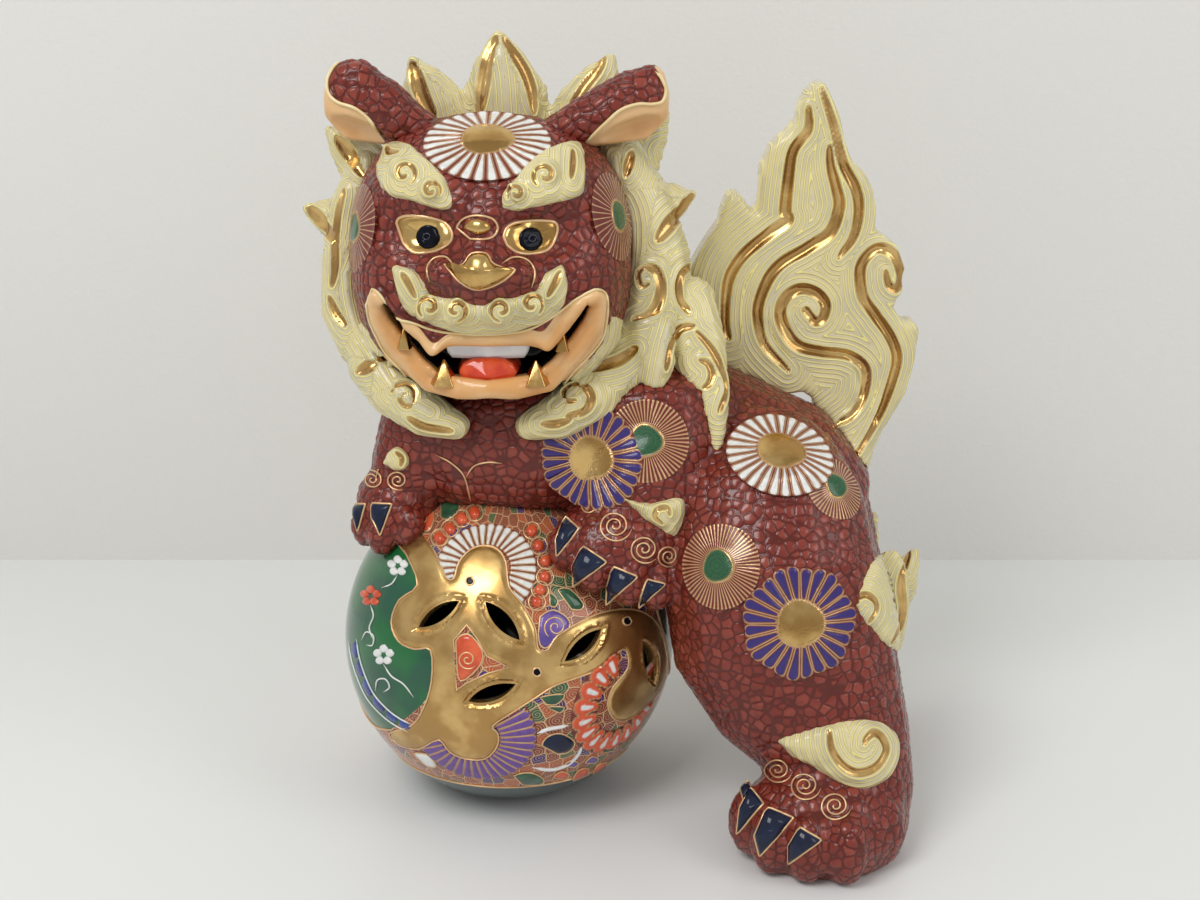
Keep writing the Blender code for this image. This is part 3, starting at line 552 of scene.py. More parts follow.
DISC_RINGS = 44
EYE_DOME, PAINTED_EYE_DOME = 1.2, 0.4


def flower(name, tree, place, radius, petals, colour, eye, eye_size=0.4, lift=0.5, oval=1.0, **petal_plan):
    """A round flower with an eye, which is `None` for gold or a colour."""
    middle, facing = touch(tree, place)
    level, upwards = flower_axes(facing)
    spokes, rings = petals * (8 if petals > 40 else 18), DISC_RINGS
    turn = np.tile(np.linspace(0, 2 * math.pi, spokes, endpoint=False), rings)
    reach = np.repeat(np.linspace(0.04, 1.0, rings), spokes)
    foot = eye_size * radius
    far = reach * radius * waved(turn, petal_plan.get("ragged", 0.0))
    flat = middle + np.outer(far * np.cos(turn), level) + np.outer(far * np.sin(turn) * oval, upwards)
    paint, gilt, height = petals_at(turn, far, radius, petals, colour, foot, **petal_plan)
    centre = far - foot * (1 + 0.05 * np.sin(turn * 3 + 2))
    rim = np.exp(-((centre / 0.5) ** 2))
    eye_share = np.clip(0.5 - centre / 0.4, 0, 1)
    if eye is None:
        gilt = np.maximum(gilt, eye_share)
    else:
        speck = 0.7 + 0.5 * (np.sin(far * 3.1 + 7 * np.sin(turn * 9)) > 0.2)
        paint = blended(paint, eye_share, np.outer(eye_share * speck, eye))
    paint = blended(paint, rim, np.outer(rim, PIPED_GOLD))
    gilt = np.where(rim > 0.4, 0.6, gilt)
    dome = np.clip(1 - (far / foot) ** 2, 0, 1) ** 0.5
    dome = dome * (EYE_DOME if eye is None else PAINTED_EYE_DOME)
    height = lift + np.where(centre < 0, 0.3, height) + 0.4 * rim + dome
    height = height * np.clip((1.0 - reach) / 0.03, 0, 1) - 0.8 * (reach > 0.99)
    skin, _ = draped(tree, flat, facing, height)
    skin = eased_disc(skin, flat, facing, rings)
    top = skin[:spokes].mean(axis=0)
    rows = range(rings - 3, 0, -6)
    below = np.concatenate([np.arange(k * spokes, (k + 1) * spokes) for k in rows])
    under, _ = draped(tree, np.vstack((flat[below], middle[None])), facing, -1.2)
    obj = shaped(name, np.vstack((top, skin, under)), disc_faces(rings + len(rows), spokes), enamel)
    order = np.concatenate(([0], np.arange(len(skin)), below, [0]))
    paint_marks(obj, paint[order], gilt[order])
    return obj


FERN = dict(colour=FERN_GOLD, eye=ENAMEL_GREEN, widths=(0.08, 0.28), piping=0.0, dots=True, relief=0.2)
BODY_FLOWERS = {
    "chest_fern_flower": dict(place=(646, 441), radius=20.5, petals=58, eye_size=0.38, **FERN),
    "chest_blue_flower": dict(place=(591, 457), radius=24.5, petals=24, colour=ENAMEL_BLUE, eye=None,
                              eye_size=0.42, widths=(0.7, 2.15), margin=0.35, lift=1.0, ragged=0.02),
    "rump_white_flower": dict(place=(781, 452), radius=26.5, petals=27, colour=ENAMEL_WHITE, eye=None,
                              eye_size=0.42, widths=(0.6, 1.95), margin=0.3, piping=0.17, lift=1.0),
    "rump_fern_flower": dict(place=(836, 486), radius=17.0, petals=50, eye_size=0.36, **FERN),
    "flank_fern_flower": dict(place=(718, 566), radius=20.5, petals=60, eye_size=0.38, **FERN),
    "thigh_blue_flower": dict(place=(800, 623), radius=27.0, petals=24, colour=ENAMEL_BLUE, eye=None,
                              eye_size=0.40, widths=(0.8, 2.4), margin=0.4, lift=1.0, ragged=0.035),
}
for name, plan in BODY_FLOWERS.items():
    flower(name, body_tree, **plan)


# Gold lines over the glaze: the creases of the chest, and the spirals on the paws' knuckles.
# They are beads of slip piped from a nozzle, fired, and gilded afterwards.


def over(tree, places, lift=0.5, steps=6, behind=False):
    """A line over a surface through places of the frame, in millimetres."""
    run = []
    for place in curve_through(places, steps):
        hit, normal = touch(tree, place, behind=behind)
        run.append(hit + normal * lift)
    return np.array(run)


def curve_through(points, steps=8):
    """A smooth line through points, each a row of numbers."""
    rows = np.array(points, dtype=float)
    ends = np.vstack((2 * rows[0] - rows[1], rows, 2 * rows[-1] - rows[-2]))
    t = np.linspace(0, 1, steps, endpoint=False)[:, None]
    run = []
    for a, b, c, d in zip(ends, ends[1:], ends[2:], ends[3:]):
        bend = (2 * a - 5 * b + 4 * c - d) * t**2 + (3 * b - a - 3 * c + d) * t**3
        run.append(0.5 * (2 * b + (c - a) * t + bend))
    return np.vstack(run + [rows[-1:]])


def round_outline(points, steps=5):
    """A smooth closed line through points, without the repeated end."""
    rows = np.array(points, dtype=float)
    return curve_through(np.vstack((rows[-2:], rows, rows[:2])), steps)[2 * steps : -2 * steps - 1]


def piped(name, lines, radius, material, slot, closed=False):
    """Lines of piped slip, each a bead with its ends drawn out, made as one object."""
    curve = bpy.data.curves.new(name, "CURVE")
    curve.dimensions = "3D"
    curve.bevel_depth = radius * MM
    curve.bevel_resolution = 2
    curve.use_fill_caps = True
    for line in lines:
        spline = curve.splines.new("POLY")
        spline.points.add(len(line) - 1)
        spline.points.foreach_set("co", np.column_stack((line * MM, np.ones(len(line)))).ravel())
        spline.use_cyclic_u = closed
        if not closed:
            ends = np.clip(np.minimum(np.arange(len(line)), np.arange(len(line))[::-1]) / 3.0, 0.25, 1)
            spline.points.foreach_set("radius", ends)
    obj = bpy.data.objects.new(name, curve)
    bpy.context.scene.collection.objects.link(obj)
    curve.materials.append(material)
    bpy.context.view_layer.objects.active = obj
    obj.select_set(True)
    bpy.ops.object.convert(target="MESH")
    obj.select_set(False)
    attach(obj, "root")
    return obj


def spiral(middle, size, turns=2.2, start=90.0, oval=1.0, hand=1):
    """Places of a spiral that winds outwards, in the frame."""
    t = np.linspace(0.08, 1, int(14 * turns))
    angle = np.radians(start) + hand * 2 * math.pi * turns * t
    right, up = size * t * np.cos(angle), size * oval * t * np.sin(angle)
    return np.column_stack((middle[0] + right, middle[1] - up))


# The creases as places of the frame, and of each spiral the middle, size, turns and start
CREASES = [
    [(437, 455), (449, 461), (461, 471), (466, 480), (469, 492), (471, 501)],
    [(502, 463), (488, 462), (474, 466), (466, 477)],
]
KNUCKLES = [
    ((588, 507), 10, 1.8, 200), ((615, 526), 17, 2.8, 60), ((644, 549), 15, 2.8, 30),
    ((668, 556), 12, 2.6, 80), ((373, 480), 11, 2.4, 20), ((398, 480), 11, 2.4, 150),
    ((778, 770), 15, 2.8, 60), ((805, 786), 16, 2.8, 60), ((835, 806), 16, 2.8, 60),
]
BEAD_LIFT = 0.55
lines = [over(body_tree, run, BEAD_LIFT) for run in CREASES]
lines += [over(body_tree, spiral(*knuckle, oval=0.95), BEAD_LIFT, steps=2) for knuckle in KNUCKLES]
piped("piped_body_lines", lines, 0.42, line_gold, "gold_lustre")


# The claws: pointed navy nails of thick enamel, laid over the fronts of the toes.
# Each lies in its own setting of piped gold.


def settled(tree, place, base, reach):
    """Where a place touches a surface, or the level `reach` behind a patch's middle if that lies deeper."""
    hit, normal = touch(tree, place)
    missed = tree.ray_cast(EYE, sight(*place))[0] is None
    if reach is None or (hit[1] < base[1] + reach and not missed):
        return hit, normal
    eye, ray = np.array(EYE) / MM, np.array(sight(*place))
    return eye + ray * ((base[1] + reach - eye[1]) / ray[1]), -ray


INLAY_LIFT = 0.35


def inlay(name, tree, outlines, rise, material, sink=1.0, rings=7, power=0.5, steps=5, reach=None):
    """Domed patches over a surface, each inside a closed outline of the frame, made as one object.
    A patch with a `reach` runs on past the surface's edge. Returns the object and the lines of their rims."""
    points, faces, rims = [], [], []
    for outline in outlines:
        rim = round_outline(outline, steps)
        middle = rim.mean(axis=0)
        base, facing = touch(tree, middle)
        start = len(points)
        for k in range(rings + 1):
            row = middle + (rim - middle) * (k / rings) if k else middle[None]
            height = INLAY_LIFT + rise * (1 - (k / rings) ** 2) ** power
            touched = [settled(tree, place, base, reach) for place in row]
            points += [hit + normal * height for hit, normal in touched]
        rims.append(np.array(points[-len(rim):]))
        points += [hit - normal * sink for hit, normal in touched]
        points.append(base - facing * sink)
        faces += [tuple(start + i for i in face) for face in disc_faces(rings + 1, len(rim))]
    obj = shaped(name, points, faces, material)
    return obj, rims


def joined(pieces, name):
    """Pieces made into one object, which takes the first one's place."""
    for piece in pieces:
        piece.select_set(True)
    bpy.context.view_layer.objects.active = pieces[0]
    if len(pieces) > 1:
        bpy.ops.object.join()
    pieces[0].select_set(False)
    pieces[0].name = pieces[0].data.name = name
    return pieces[0]


def claw_glaze():
    """Near-black navy glaze, bluer in soft clouds, very glossy."""
    material, net, shader = glaze("navy_claw_glaze", roughness=0.1, coat=0.1)
    shader.inputs["Specular IOR Level"].default_value = 0.25
    tone = clouded(net, object_place(net), ENAMEL_NAVY, ENAMEL_NAVY_PALE, scale=160.0, low=0.35, high=0.7)
    net.links.new(tone, shader.inputs["Base Color"])
    return material


CLAWS = [
    [(750, 787), (764, 804), (737, 834), (740, 808)],
    [(767, 807), (794, 818), (760, 856), (755, 836)],
    [(800, 827), (821, 840), (789, 864), (789, 846)],
    [(748, 780), (751, 789), (744, 800), (741, 790)],
    [(565, 516), (579, 529), (557, 556), (556, 540)],
    [(583, 546), (606, 562), (573, 587), (573, 566)],
    [(613, 566), (637, 577), (606, 605), (607, 585)],
    [(646, 579), (665, 584), (639, 608), (640, 596)],
    [(355, 504), (366, 504), (358, 531), (354, 516)],
    [(372, 503), (392, 504), (380, 535), (372, 517)],
]


SIDE_SHARES = (0.05, 0.35, 0.65, 0.95)


def cornered(corners):
    """An outline with crisp corners, from places along its straight sides."""
    rows = np.array(corners, dtype=float)
    return np.vstack([a + np.outer(SIDE_SHARES, b - a) for a, b in zip(rows, np.roll(rows, -1, axis=0))])


claw_paint = claw_glaze()
_, claw_rims = inlay("claws", body_tree, [cornered(claw) for claw in CLAWS], rise=2.2, material=claw_paint,
                     sink=2.0, steps=2, reach=8.0)
piped("claw_settings", claw_rims, 0.6, line_gold, "gold_lustre", closed=True)

# The flame tail: one casting with its edges rolled over. Deep gilded grooves run through the hair,
# and fine pale-yellow lines of piped slip follow them over the cream glaze.

GROOVE_ENDS = 0.35


def grooved(line, wide):
    """A groove along a line, as rows of place and half width: `wide` in its middle and narrower at both ends.
    A width below 0 stays as it is."""
    swell = GROOVE_ENDS + (1 - GROOVE_ENDS) * np.sin(math.pi * np.linspace(0, 1, len(line))) ** 0.5
    return np.column_stack((line, wide * swell if wide > 0 else np.full(len(line), wide)))


def flow_from(points, grooves):
    """How far each point lies outside the nearest groove's edge. A groove is rows of a place and a half
    width. Points and places have two or three columns, in millimetres."""
    rows = np.vstack(grooves)
    if points.shape[1] == 2:
        rows, points = np.insert(rows, 2, 0.0, axis=1), np.insert(points, 2, 0.0, axis=1)
    tree = KDTree(len(rows))
    for index, row in enumerate(rows):
        tree.insert(row[:3], index)
    tree.balance()
    found = [tree.find(point) for point in points]
    return np.array([distance - rows[nearest, 3] for _, nearest, distance in found])


STRAND_PITCH, STRAND_WAVE = 2.4, 0.22
GROOVE_DEPTH, GROOVE_SIDE, GROOVE_LIP = 1.5, 2.0, 0.6


def groove_height(flow):
    """The relief of the hair: sunk grooves with a raised lip, and a slight wave for each pair of strands."""
    sunk = -GROOVE_DEPTH * np.clip(-flow / GROOVE_SIDE, 0, 1)
    lip = GROOVE_LIP * np.exp(-((flow - 1.0) ** 2))
    wave = STRAND_WAVE * np.sin(flow * math.pi / STRAND_PITCH) * np.clip(flow - 1.5, 0, 1)
    return sunk + lip + wave


def comb(obj, flow, relief=1.0):
    """Presses the grooves into a skin of hair and marks how its strands run."""
    put_spots(obj, spots(obj) + outward(obj) * (groove_height(flow) * relief)[:, None])
    mark(obj, "flow", flow)
    obj.data.materials.append(hair_glaze)


CREAM = (0.72, 0.63, 0.37)
CREAM_GREY = (0.62, 0.56, 0.37)
LINE_YELLOW = (0.88, 0.77, 0.30)
SWAY, SWAYS_PER_METRE = 0.9, 70.0
GILT_SHINE = 0.85


def strand_glaze():
    """Cream glaze under parallel raised lines of pale yellow, with gold in the grooves."""
    material, net, shader = glaze("cream_hair_glaze", roughness=0.24, coat=0.25)
    place = object_place(net)
    flow = attribute(net, "flow")
    wavy = sums(net, "ADD", flow, sums(net, "MULTIPLY", clouds(net, place, SWAYS_PER_METRE), SWAY))
    phase = sums(net, "PINGPONG", sums(net, "DIVIDE", wavy, STRAND_PITCH / 2), 1.0)
    line = ease_between(net, phase, 0.52, 0.82)
    ground = clouded(net, place, CREAM_GREY, CREAM, scale=SWAYS_PER_METRE, low=0.35, high=0.65)
    hair = mixed(net, line, ground, LINE_YELLOW)
    gilt = ease_between(net, flow, 0.25, -0.25)
    net.links.new(mixed(net, gilt, hair, gold_tone(net, place)), shader.inputs["Base Color"])
    net.links.new(sums(net, "MULTIPLY", gilt, GILT_SHINE), shader.inputs["Metallic"])
    raised = sums(net, "MULTIPLY", line, sums(net, "SUBTRACT", 1.0, gilt))
    roughen(net, shader, raised, strength=0.9, rise=0.5)
    return material


hair_glaze = strand_glaze()

# The tail's grooves, as (sideways, up) from the origin in millimetres, with the half width of each
TAIL_GROOVES = [
    (
        3.1,
        [(92, 349), (92, 338), (85, 328), (83, 314), (82, 298), (83, 293), (74, 286), (62, 276),
         (55, 265), (53, 254), (53, 240), (55, 232)],
    ),
    (
        3.1,
        [(103, 330), (104, 320), (107, 310), (109, 300), (105, 287), (94, 279), (82, 272), (75, 264),
         (70, 251), (70, 240), (74, 228), (86, 215)],
    ),
    (2.6, [(98, 358), (104, 342), (110, 322), (117, 309), (119, 298), (117, 285), (110, 274)]),
    (
        3.0,
        [(96, 243), (94, 247), (99, 241), (103, 243), (104, 250), (99, 256), (91, 258), (84, 254),
         (81, 246), (84, 236), (91, 228), (103, 225), (117, 223), (126, 216), (126, 203), (121, 193),
         (113, 187)],
    ),
    (
        2.8,
        [(134, 267), (136, 260), (140, 258), (142, 265), (138, 275), (131, 279), (125, 276), (121, 268),
         (123, 254), (130, 244), (138, 233), (142, 222), (140, 209), (135, 193), (128, 180), (120, 170)],
    ),
]
tail = skin_over("tail_flame", ["tail"], voxel=1.15, rounds=10)
grooves = [grooved(curve_through(run), wide) for wide, run in TAIL_GROOVES]
comb(tail, flow_from(spots(tail)[:, [0, 2]], grooves))
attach(tail, "root")
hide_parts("tail")

# The mane: a casting behind the head with its crown of flames, the thick locks down the cheeks and under
# the jaw, and the locks on neck and shoulder. All are luted together and glazed as one, with gilded grooves
# along the locks.

MANE_NODES = [
    "mane_crest", "left_cheek_mane", "right_cheek_mane", "left_beard", "right_beard", "left_nape_lock",
    "left_shoulder_lock",
]

# Half width of each groove in millimetres and its places in the frame. One below 0 only leads the strands.
MANE_GROOVES = [
    (3.7, [(412, 63), (414, 70), (418, 84), (425, 101), (434, 117)]),
    (3.8, [(496, 38), (488, 56), (483, 80), (480, 100), (479, 116)]),
    (3.4, [(504, 38), (516, 56), (526, 74), (532, 92), (534, 112)]),
    (3.0, [(604, 58), (596, 71), (583, 88), (571, 107)]),
    (3.4, [(337, 138), (350, 155), (364, 176)]),
    (3.8, [(309, 208), (322, 223), (337, 243)]),
    (3.8, [(692, 195), (680, 212), (668, 226), (658, 240)]),
    (2.4, [(632, 152), (629, 163), (626, 176)]),
    (2.2, [(344, 190), (338, 214), (335, 242), (335, 268), (332, 286)]),
    (2.2, [(329, 297), (336, 313), (346, 326)]),
    (3.2, [(358, 372), (370, 366), (385, 356)]),
    (1.5, [(392, 392), (398, 385), (408, 384), (415, 391), (414, 402), (406, 406), (400, 399), (405, 394)]),
    (2.2, [(408, 418), (425, 427), (452, 431)]),
    (2.7, [(645, 266), (656, 271), (661, 285), (659, 301), (650, 314), (634, 319)]),
    (1.2, [(645, 266), (638, 274), (641, 286), (649, 284)]),
    (2.5, [(693, 266), (684, 271), (679, 285), (681, 301), (689, 313)]),
    (2.2, [(694, 326), (679, 330), (671, 346), (666, 370)]),
    (1.8, [(700, 360), (708, 364), (712, 374), (709, 384), (703, 388)]),
    (2.1, [(697, 332), (712, 350), (723, 372), (726, 393), (719, 412)]),
    (3.2, [(587, 370), (602, 366), (620, 359), (637, 348)]),
    (2.2, [(572, 384), (585, 387), (591, 398), (585, 411), (567, 416)]),
    (1.2, [(572, 384), (564, 392), (568, 401), (576, 400)]),
    (2.0, [(542, 424), (556, 424), (570, 420)]),
    (-1, [(366, 157), (367, 195), (351, 261), (346, 279), (354, 322), (372, 352), (397, 392), (430, 412)]),
    (-1, [(615, 157), (619, 185), (632, 217), (633, 261), (626, 294), (616, 326), (600, 350), (582, 382),
          (556, 406)]),
    (-1, [(424, 64), (444, 72), (462, 82), (470, 100)]),
    (-1, [(604, 57), (580, 72), (556, 84), (544, 96)]),
    (-1, [(500, 50), (505, 80), (507, 112)]),
    (-1, [(660, 150), (668, 178), (688, 192)]),
    (-1, [(655, 385), (662, 350), (670, 320)]),
]
# The same on the back, as (sideways, up) from the origin
MANE_BACK_GROOVES = [
    (2.6, [(-63, 236), (-72, 258), (-58, 284), (-66, 312), (-58, 350)]),
    (2.4, [(-92, 246), (-106, 268), (-94, 292), (-108, 318), (-100, 342)]),
    (2.4, [(-34, 246), (-20, 268), (-32, 292), (-14, 318), (-8, 344)]),
    (2.2, [(-122, 262), (-132, 284), (-122, 300), (-142, 316)]),
    (2.2, [(-4, 262), (6, 284), (-2, 300), (20, 322)]),
    (2.0, [(-80, 300), (-74, 290), (-82, 282), (-90, 290), (-88, 304), (-76, 312)]),
    (2.0, [(-46, 300), (-52, 290), (-44, 282), (-36, 290), (-38, 304), (-50, 312)]),
    (1.8, [(35, 212), (40, 230), (30, 250), (22, 268)]),
]


def grooves_over(tree, plans, behind=False):
    """Grooves laid over a surface."""
    return [grooved(over(tree, places, lift=0.0, steps=20, behind=behind), wide) for wide, places in plans]


mane = skin_over("mane", MANE_NODES, voxel=1.25, rounds=8, swell=0.5)
mane_tree = tree_of(mane)
grooves = grooves_over(mane_tree, MANE_GROOVES) + grooves_over(mane_tree, MANE_BACK_GROOVES, True)
comb(mane, flow_from(spots(mane), grooves))
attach(mane, "root")
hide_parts(*MANE_NODES)

# Tufts of the same hair on the elbows, ankles and wrists, each with a gilded curl. Those at the front are
# pads laid on the leg, and the elbow's pad runs on into the casting that stands off behind it.

TUFT_SINK, TUFT_VOXEL = 2.0, 0.75

TUFTS = {
    "left_elbow_tuft": dict(
        pad=[(856, 602), (860, 591), (866, 574), (876, 557), (897, 551), (906, 575), (909, 600),
             (906, 628), (899, 650), (885, 644), (872, 629), (863, 619), (858, 611)],
        rise=4.5,
        reach=32.0,
        sink=10.0,
        grooves=[(1.7, [(857, 603), (857, 598), (866, 595), (875, 601), (876, 611), (869, 622)]),
                 (2.4, [(909, 553), (903, 571), (901, 588), (903, 606), (901, 622), (892, 643)])],
        casting=True,
    ),
    "left_ankle_tuft": dict(
        pad=[(777, 741), (798, 733), (826, 725), (852, 720), (876, 721), (892, 729), (899, 743),
             (898, 760), (888, 778), (866, 789), (838, 782), (812, 766), (788, 754)],
        rise=5.5,
        grooves=[(2.2, [(829, 731), (832, 750), (843, 766), (858, 773), (876, 767), (886, 751),
                        (882, 738), (874, 733), (867, 738), (864, 744)])],
    ),
    "left_wrist_tuft": dict(
        pad=[(622, 498), (634, 501), (650, 503), (668, 499), (682, 498), (685, 508), (682, 524),
             (674, 536), (662, 530), (640, 516)],
        rise=4.5,
        grooves=[(1.2, [(662, 524), (655, 517), (658, 509), (667, 508), (670, 515)])],
    ),
    "right_wrist_tuft": dict(
        pad=[(385, 464), (390, 453), (397, 446), (406, 452), (410, 462), (404, 470), (392, 469)],
        rise=4.0,
        grooves=[(1.1, [(396, 452), (402, 458), (401, 466)])],
    ),
}
for name, plan in TUFTS.items():
    tuft, _ = inlay(name + "_hair", body_tree, [plan["pad"]], plan["rise"], hair_glaze,
                    plan.get("sink", TUFT_SINK), power=0.4, steps=4, reach=plan.get("reach"))
    if plan.get("casting"):
        casting = skin_over(name + "_skin", [name], voxel=0.8, rounds=6, swell=0.5)
        tuft = joined([tuft, casting], name + "_hair")
    tuft.data.materials.clear()
    reskin(tuft, TUFT_VOXEL, rounds=4)
    comb(tuft, flow_from(spots(tuft), grooves_over(tree_of(tuft), plan["grooves"])), relief=0.8)
    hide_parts(name)
FAR_TUFTS = {
    "right_elbow_tuft": [(1.8, [(124, 84), (134, 92), (140, 104)])],
    "right_ankle_tuft": [(2.0, [(112, 52), (122, 58), (132, 52), (126, 46)])],
}
for name, plans in FAR_TUFTS.items():
    tuft = skin_over(name + "_skin", [name], voxel=0.8, rounds=6, swell=0.5)
    comb(tuft, flow_from(spots(tuft), grooves_over(tree_of(tuft), plans, behind=True)), relief=0.6)
    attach(tuft, "root")
    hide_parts(name)

# The head: one casting with the open mouth, pebbled red like the body. The lips are a smooth roll in
# orange-beige glaze, the inside of the mouth turns black with depth as painted shade, and gold lines are
# piped round both.

# Millimetres for each unit of the frame, at the head
HEAD_SCALE = 0.47
HEAD_MIDDLE = np.array((-63.24, 1.83, 282.9))
# The front of the jaws behind the head's middle, and how it bends back to both sides
MOUTH_FRONT, MOUTH_BEND = -54.0, 0.0084
JAW_HALF_WIDTH, JAW_TOP, JAW_BACK, FACE_REACH = 62.0, 2.0, 12.0, 60.0
OUTSIDE = -20.0
LIP_ROLL, LIP_RISE, MOUTH_SHADE_FROM = 2.5, 1.1, 9.0
LIP_RIM = [
    (373, 289), (380, 295), (388, 306), (398, 318), (412, 323), (430, 329), (450, 333), (482, 335),
    (514, 333), (532, 328), (547, 320), (564, 308), (577, 299), (588, 293), (597, 290), (605, 294),
    (607, 305), (606, 320), (602, 338), (589, 355), (575, 369), (564, 383), (555, 398), (540, 405),
    (525, 405), (505, 402), (489, 400), (473, 403), (450, 408), (430, 409), (421, 401), (412, 385),
    (403, 371), (386, 353), (377, 337), (370, 321), (367, 305), (368, 294),
]
# Swellings of the face: place in the frame, reach and rise in millimetres
FACE_SWELLS = [
    ((436, 270), 5.5, 3.4), ((517, 271), 5.5, 3.4), ((478, 262), 9.0, 2.2), ((424, 214), 8.0, 2.0),
    ((530, 214), 8.0, 2.0), ((425, 236), 9.5, -3.4), ((530, 238), 9.5, -3.4), ((478, 196), 5.0, -1.6),
    ((396, 272), 12.0, 2.2), ((572, 276), 12.0, 2.2), ((478, 228), 7.0, 1.4), ((420, 262), 5.0, -1.8),
    ((537, 264), 5.0, -1.8), ((455, 212), 6.0, 1.5), ((500, 212), 6.0, 1.5), ((362, 290), 9.0, 1.5),
    ((615, 296), 9.0, 1.5),
]
# Folds of the upper lip over the eye teeth: place, reach and drop
LIP_FOLDS = [((432, 336), (5.0, 9.0, 6.5), 7.0), ((547, 332), (5.0, 9.0, 6.5), 6.5)]


def inside_by(places, outline):
    """How far places lie inside a closed outline, in the outline's units, and below 0 outside it."""
    x, y = places[:, 0], places[:, 1]
    nearest = np.full(len(x), np.inf)
    inside = np.zeros(len(x), dtype=bool)
    for (ax, ay), (bx, by) in zip(outline, np.roll(outline, -1, axis=0)):
        run, drop = bx - ax, by - ay
        t = np.clip(((x - ax) * run + (y - ay) * drop) / (run**2 + drop**2 + 1e-9), 0, 1)
        nearest = np.minimum(nearest, np.hypot(x - ax - t * run, y - ay - t * drop))
        crossing = (ay > y) != (by > y)
        inside ^= crossing & (x < ax + (y - ay) * run / (drop + 1e-12))
    return np.where(inside, nearest, -nearest)


head = skin_over("head_skin", ["head"], voxel=1.1, rounds=5)
face_tree = tree_of(head)
stood, facing = spots(head), outward(head)
fronted = np.clip(-facing[:, 1] * 1.4, 0, 1)
for place, spread, rise in FACE_SWELLS:
    hit, _ = touch(face_tree, place)
    near = np.exp(-(np.linalg.norm(stood - hit, axis=1) / spread) ** 2)
    stood = stood + facing * (near * rise * fronted)[:, None]
lip = inside_by(seen_at(stood), round_outline(LIP_RIM, 4)) * HEAD_SCALE
aside, _, above = (stood - HEAD_MIDDLE).T
depth = stood[:, 1] - (MOUTH_FRONT + MOUTH_BEND * aside**2)
jaws = (np.abs(aside) < JAW_HALF_WIDTH) & (above < JAW_TOP) & (stood[:, 1] < JAW_BACK)
lip = np.where(depth > 2.5, np.maximum(lip, depth - 2.0), lip)
outer_side = (facing[:, 1] > -0.1) & (np.hypot(aside, above) > FACE_REACH)
lip = np.where(jaws & ~outer_side, lip, OUTSIDE)
# Deeper than 9 mm behind the front of the jaws the mouth's inside is marked to turn black: painted shade deep
# in the mouth.
mouth_shade = np.where((lip > 0) & (depth > 0), depth - MOUTH_SHADE_FROM, -MOUTH_SHADE_FROM)
for place, reach, drop in LIP_FOLDS:
    hit, _ = touch(face_tree, place)
    near = np.exp(-(((stood - hit) / reach) ** 2).sum(axis=1))
    stood = stood + np.outer(near * drop, (0, -0.25, -1.0))
rolled = np.clip(lip / LIP_ROLL, 0, 1) * np.clip(1 - depth / 8.0, 0, 1)
stood = stood + facing * (rolled * LIP_RISE)[:, None]
put_spots(head, stood)
mark(head, "lip", lip)
mark(head, "mouth_shade_depth", mouth_shade)
mark(head, "pebbled", np.clip(-lip / BARE_EDGE, 0, 1))
face_tree = tree_of(head)
raise_pebbles(head)

LIP_ORANGE = (0.70, 0.36, 0.13)
LIP_PALE = (0.78, 0.50, 0.25)
# Black of the painted shade deep inside the mouth
MOUTH_SHADE_BLACK = (0.006, 0.005, 0.006)


def red_and_skin(name, field):
    """A glaze that is pebbled red where a marked field is below 0. Returns it with its net, its shader, the
    field and the red."""
    material, net, shader = glaze(name, roughness=0.18, coat=0.1)
    red, height = pebbled_paint(net)
    inside = attribute(net, field)
    raised = sums(net, "MULTIPLY", height, ease_between(net, inside, 0.0, -0.5))
    roughen(net, shader, raised, strength=0.8, rise=0.6)
    return material, net, shader, inside, red


def face_glaze():
    """The pebbled red, the lips' orange-beige and the black of painted shade deep in the mouth, on one
    casting.
    """
    material, net, shader, lip, red = red_and_skin("face_glaze", "lip")
    rim = mixed(net, ease_between(net, lip, 1.0, 5.5), LIP_PALE, LIP_ORANGE)
    rim = clouded(net, object_place(net), rim, LIP_PALE, scale=60.0, low=0.45, high=0.75)
    colour = mixed(net, ease_between(net, lip, -0.2, 0.3), red, rim)
    # The mouth's painted shade: black where the mark says it lies deep enough
    colour = mixed(net, ease_between(net, attribute(net, "mouth_shade_depth"), -0.8, 0.8), colour, MOUTH_SHADE_BLACK)
    net.links.new(colour, shader.inputs["Base Color"])
    return material


head.data.materials.append(face_glaze())
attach(head, "root")
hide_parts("head")

FACE_LINES = [
    [(430, 281), (428, 268), (435, 259), (446, 258), (454, 266)],
    [(531, 287), (534, 272), (527, 261), (514, 258), (502, 264)],
]
lines = [over(face_tree, run, 0.5) for run in FACE_LINES]
lip_line = over(face_tree, round_outline(LIP_RIM, 1), 0.45, 3)
piped("piped_face_lines", lines, 0.5, line_gold, "gold_lustre")


# What stands in the mouth: a white row of upper teeth, a bright red tongue with its groove, and four gold
# fangs. Each is modelled by hand, luted in before the firing and glazed for itself.


def plain_glaze(name, deep, pale, roughness=0.12, coat=0.4):
    """One clear glossy glaze, a little uneven in depth."""
    material, net, shader = glaze(name, roughness, coat)
    tone = clouded(net, object_place(net), deep, pale, scale=120.0, low=0.35, high=0.68, detail=3.0)
    net.links.new(tone, shader.inputs["Base Color"])
    return material


pale_line = plain_glaze("pale_gold_line", (0.80, 0.60, 0.30), (0.88, 0.74, 0.42), roughness=0.25, coat=0.0)
piped("lip_line", [lip_line], 0.6, pale_line, "gold_lustre", closed=True)

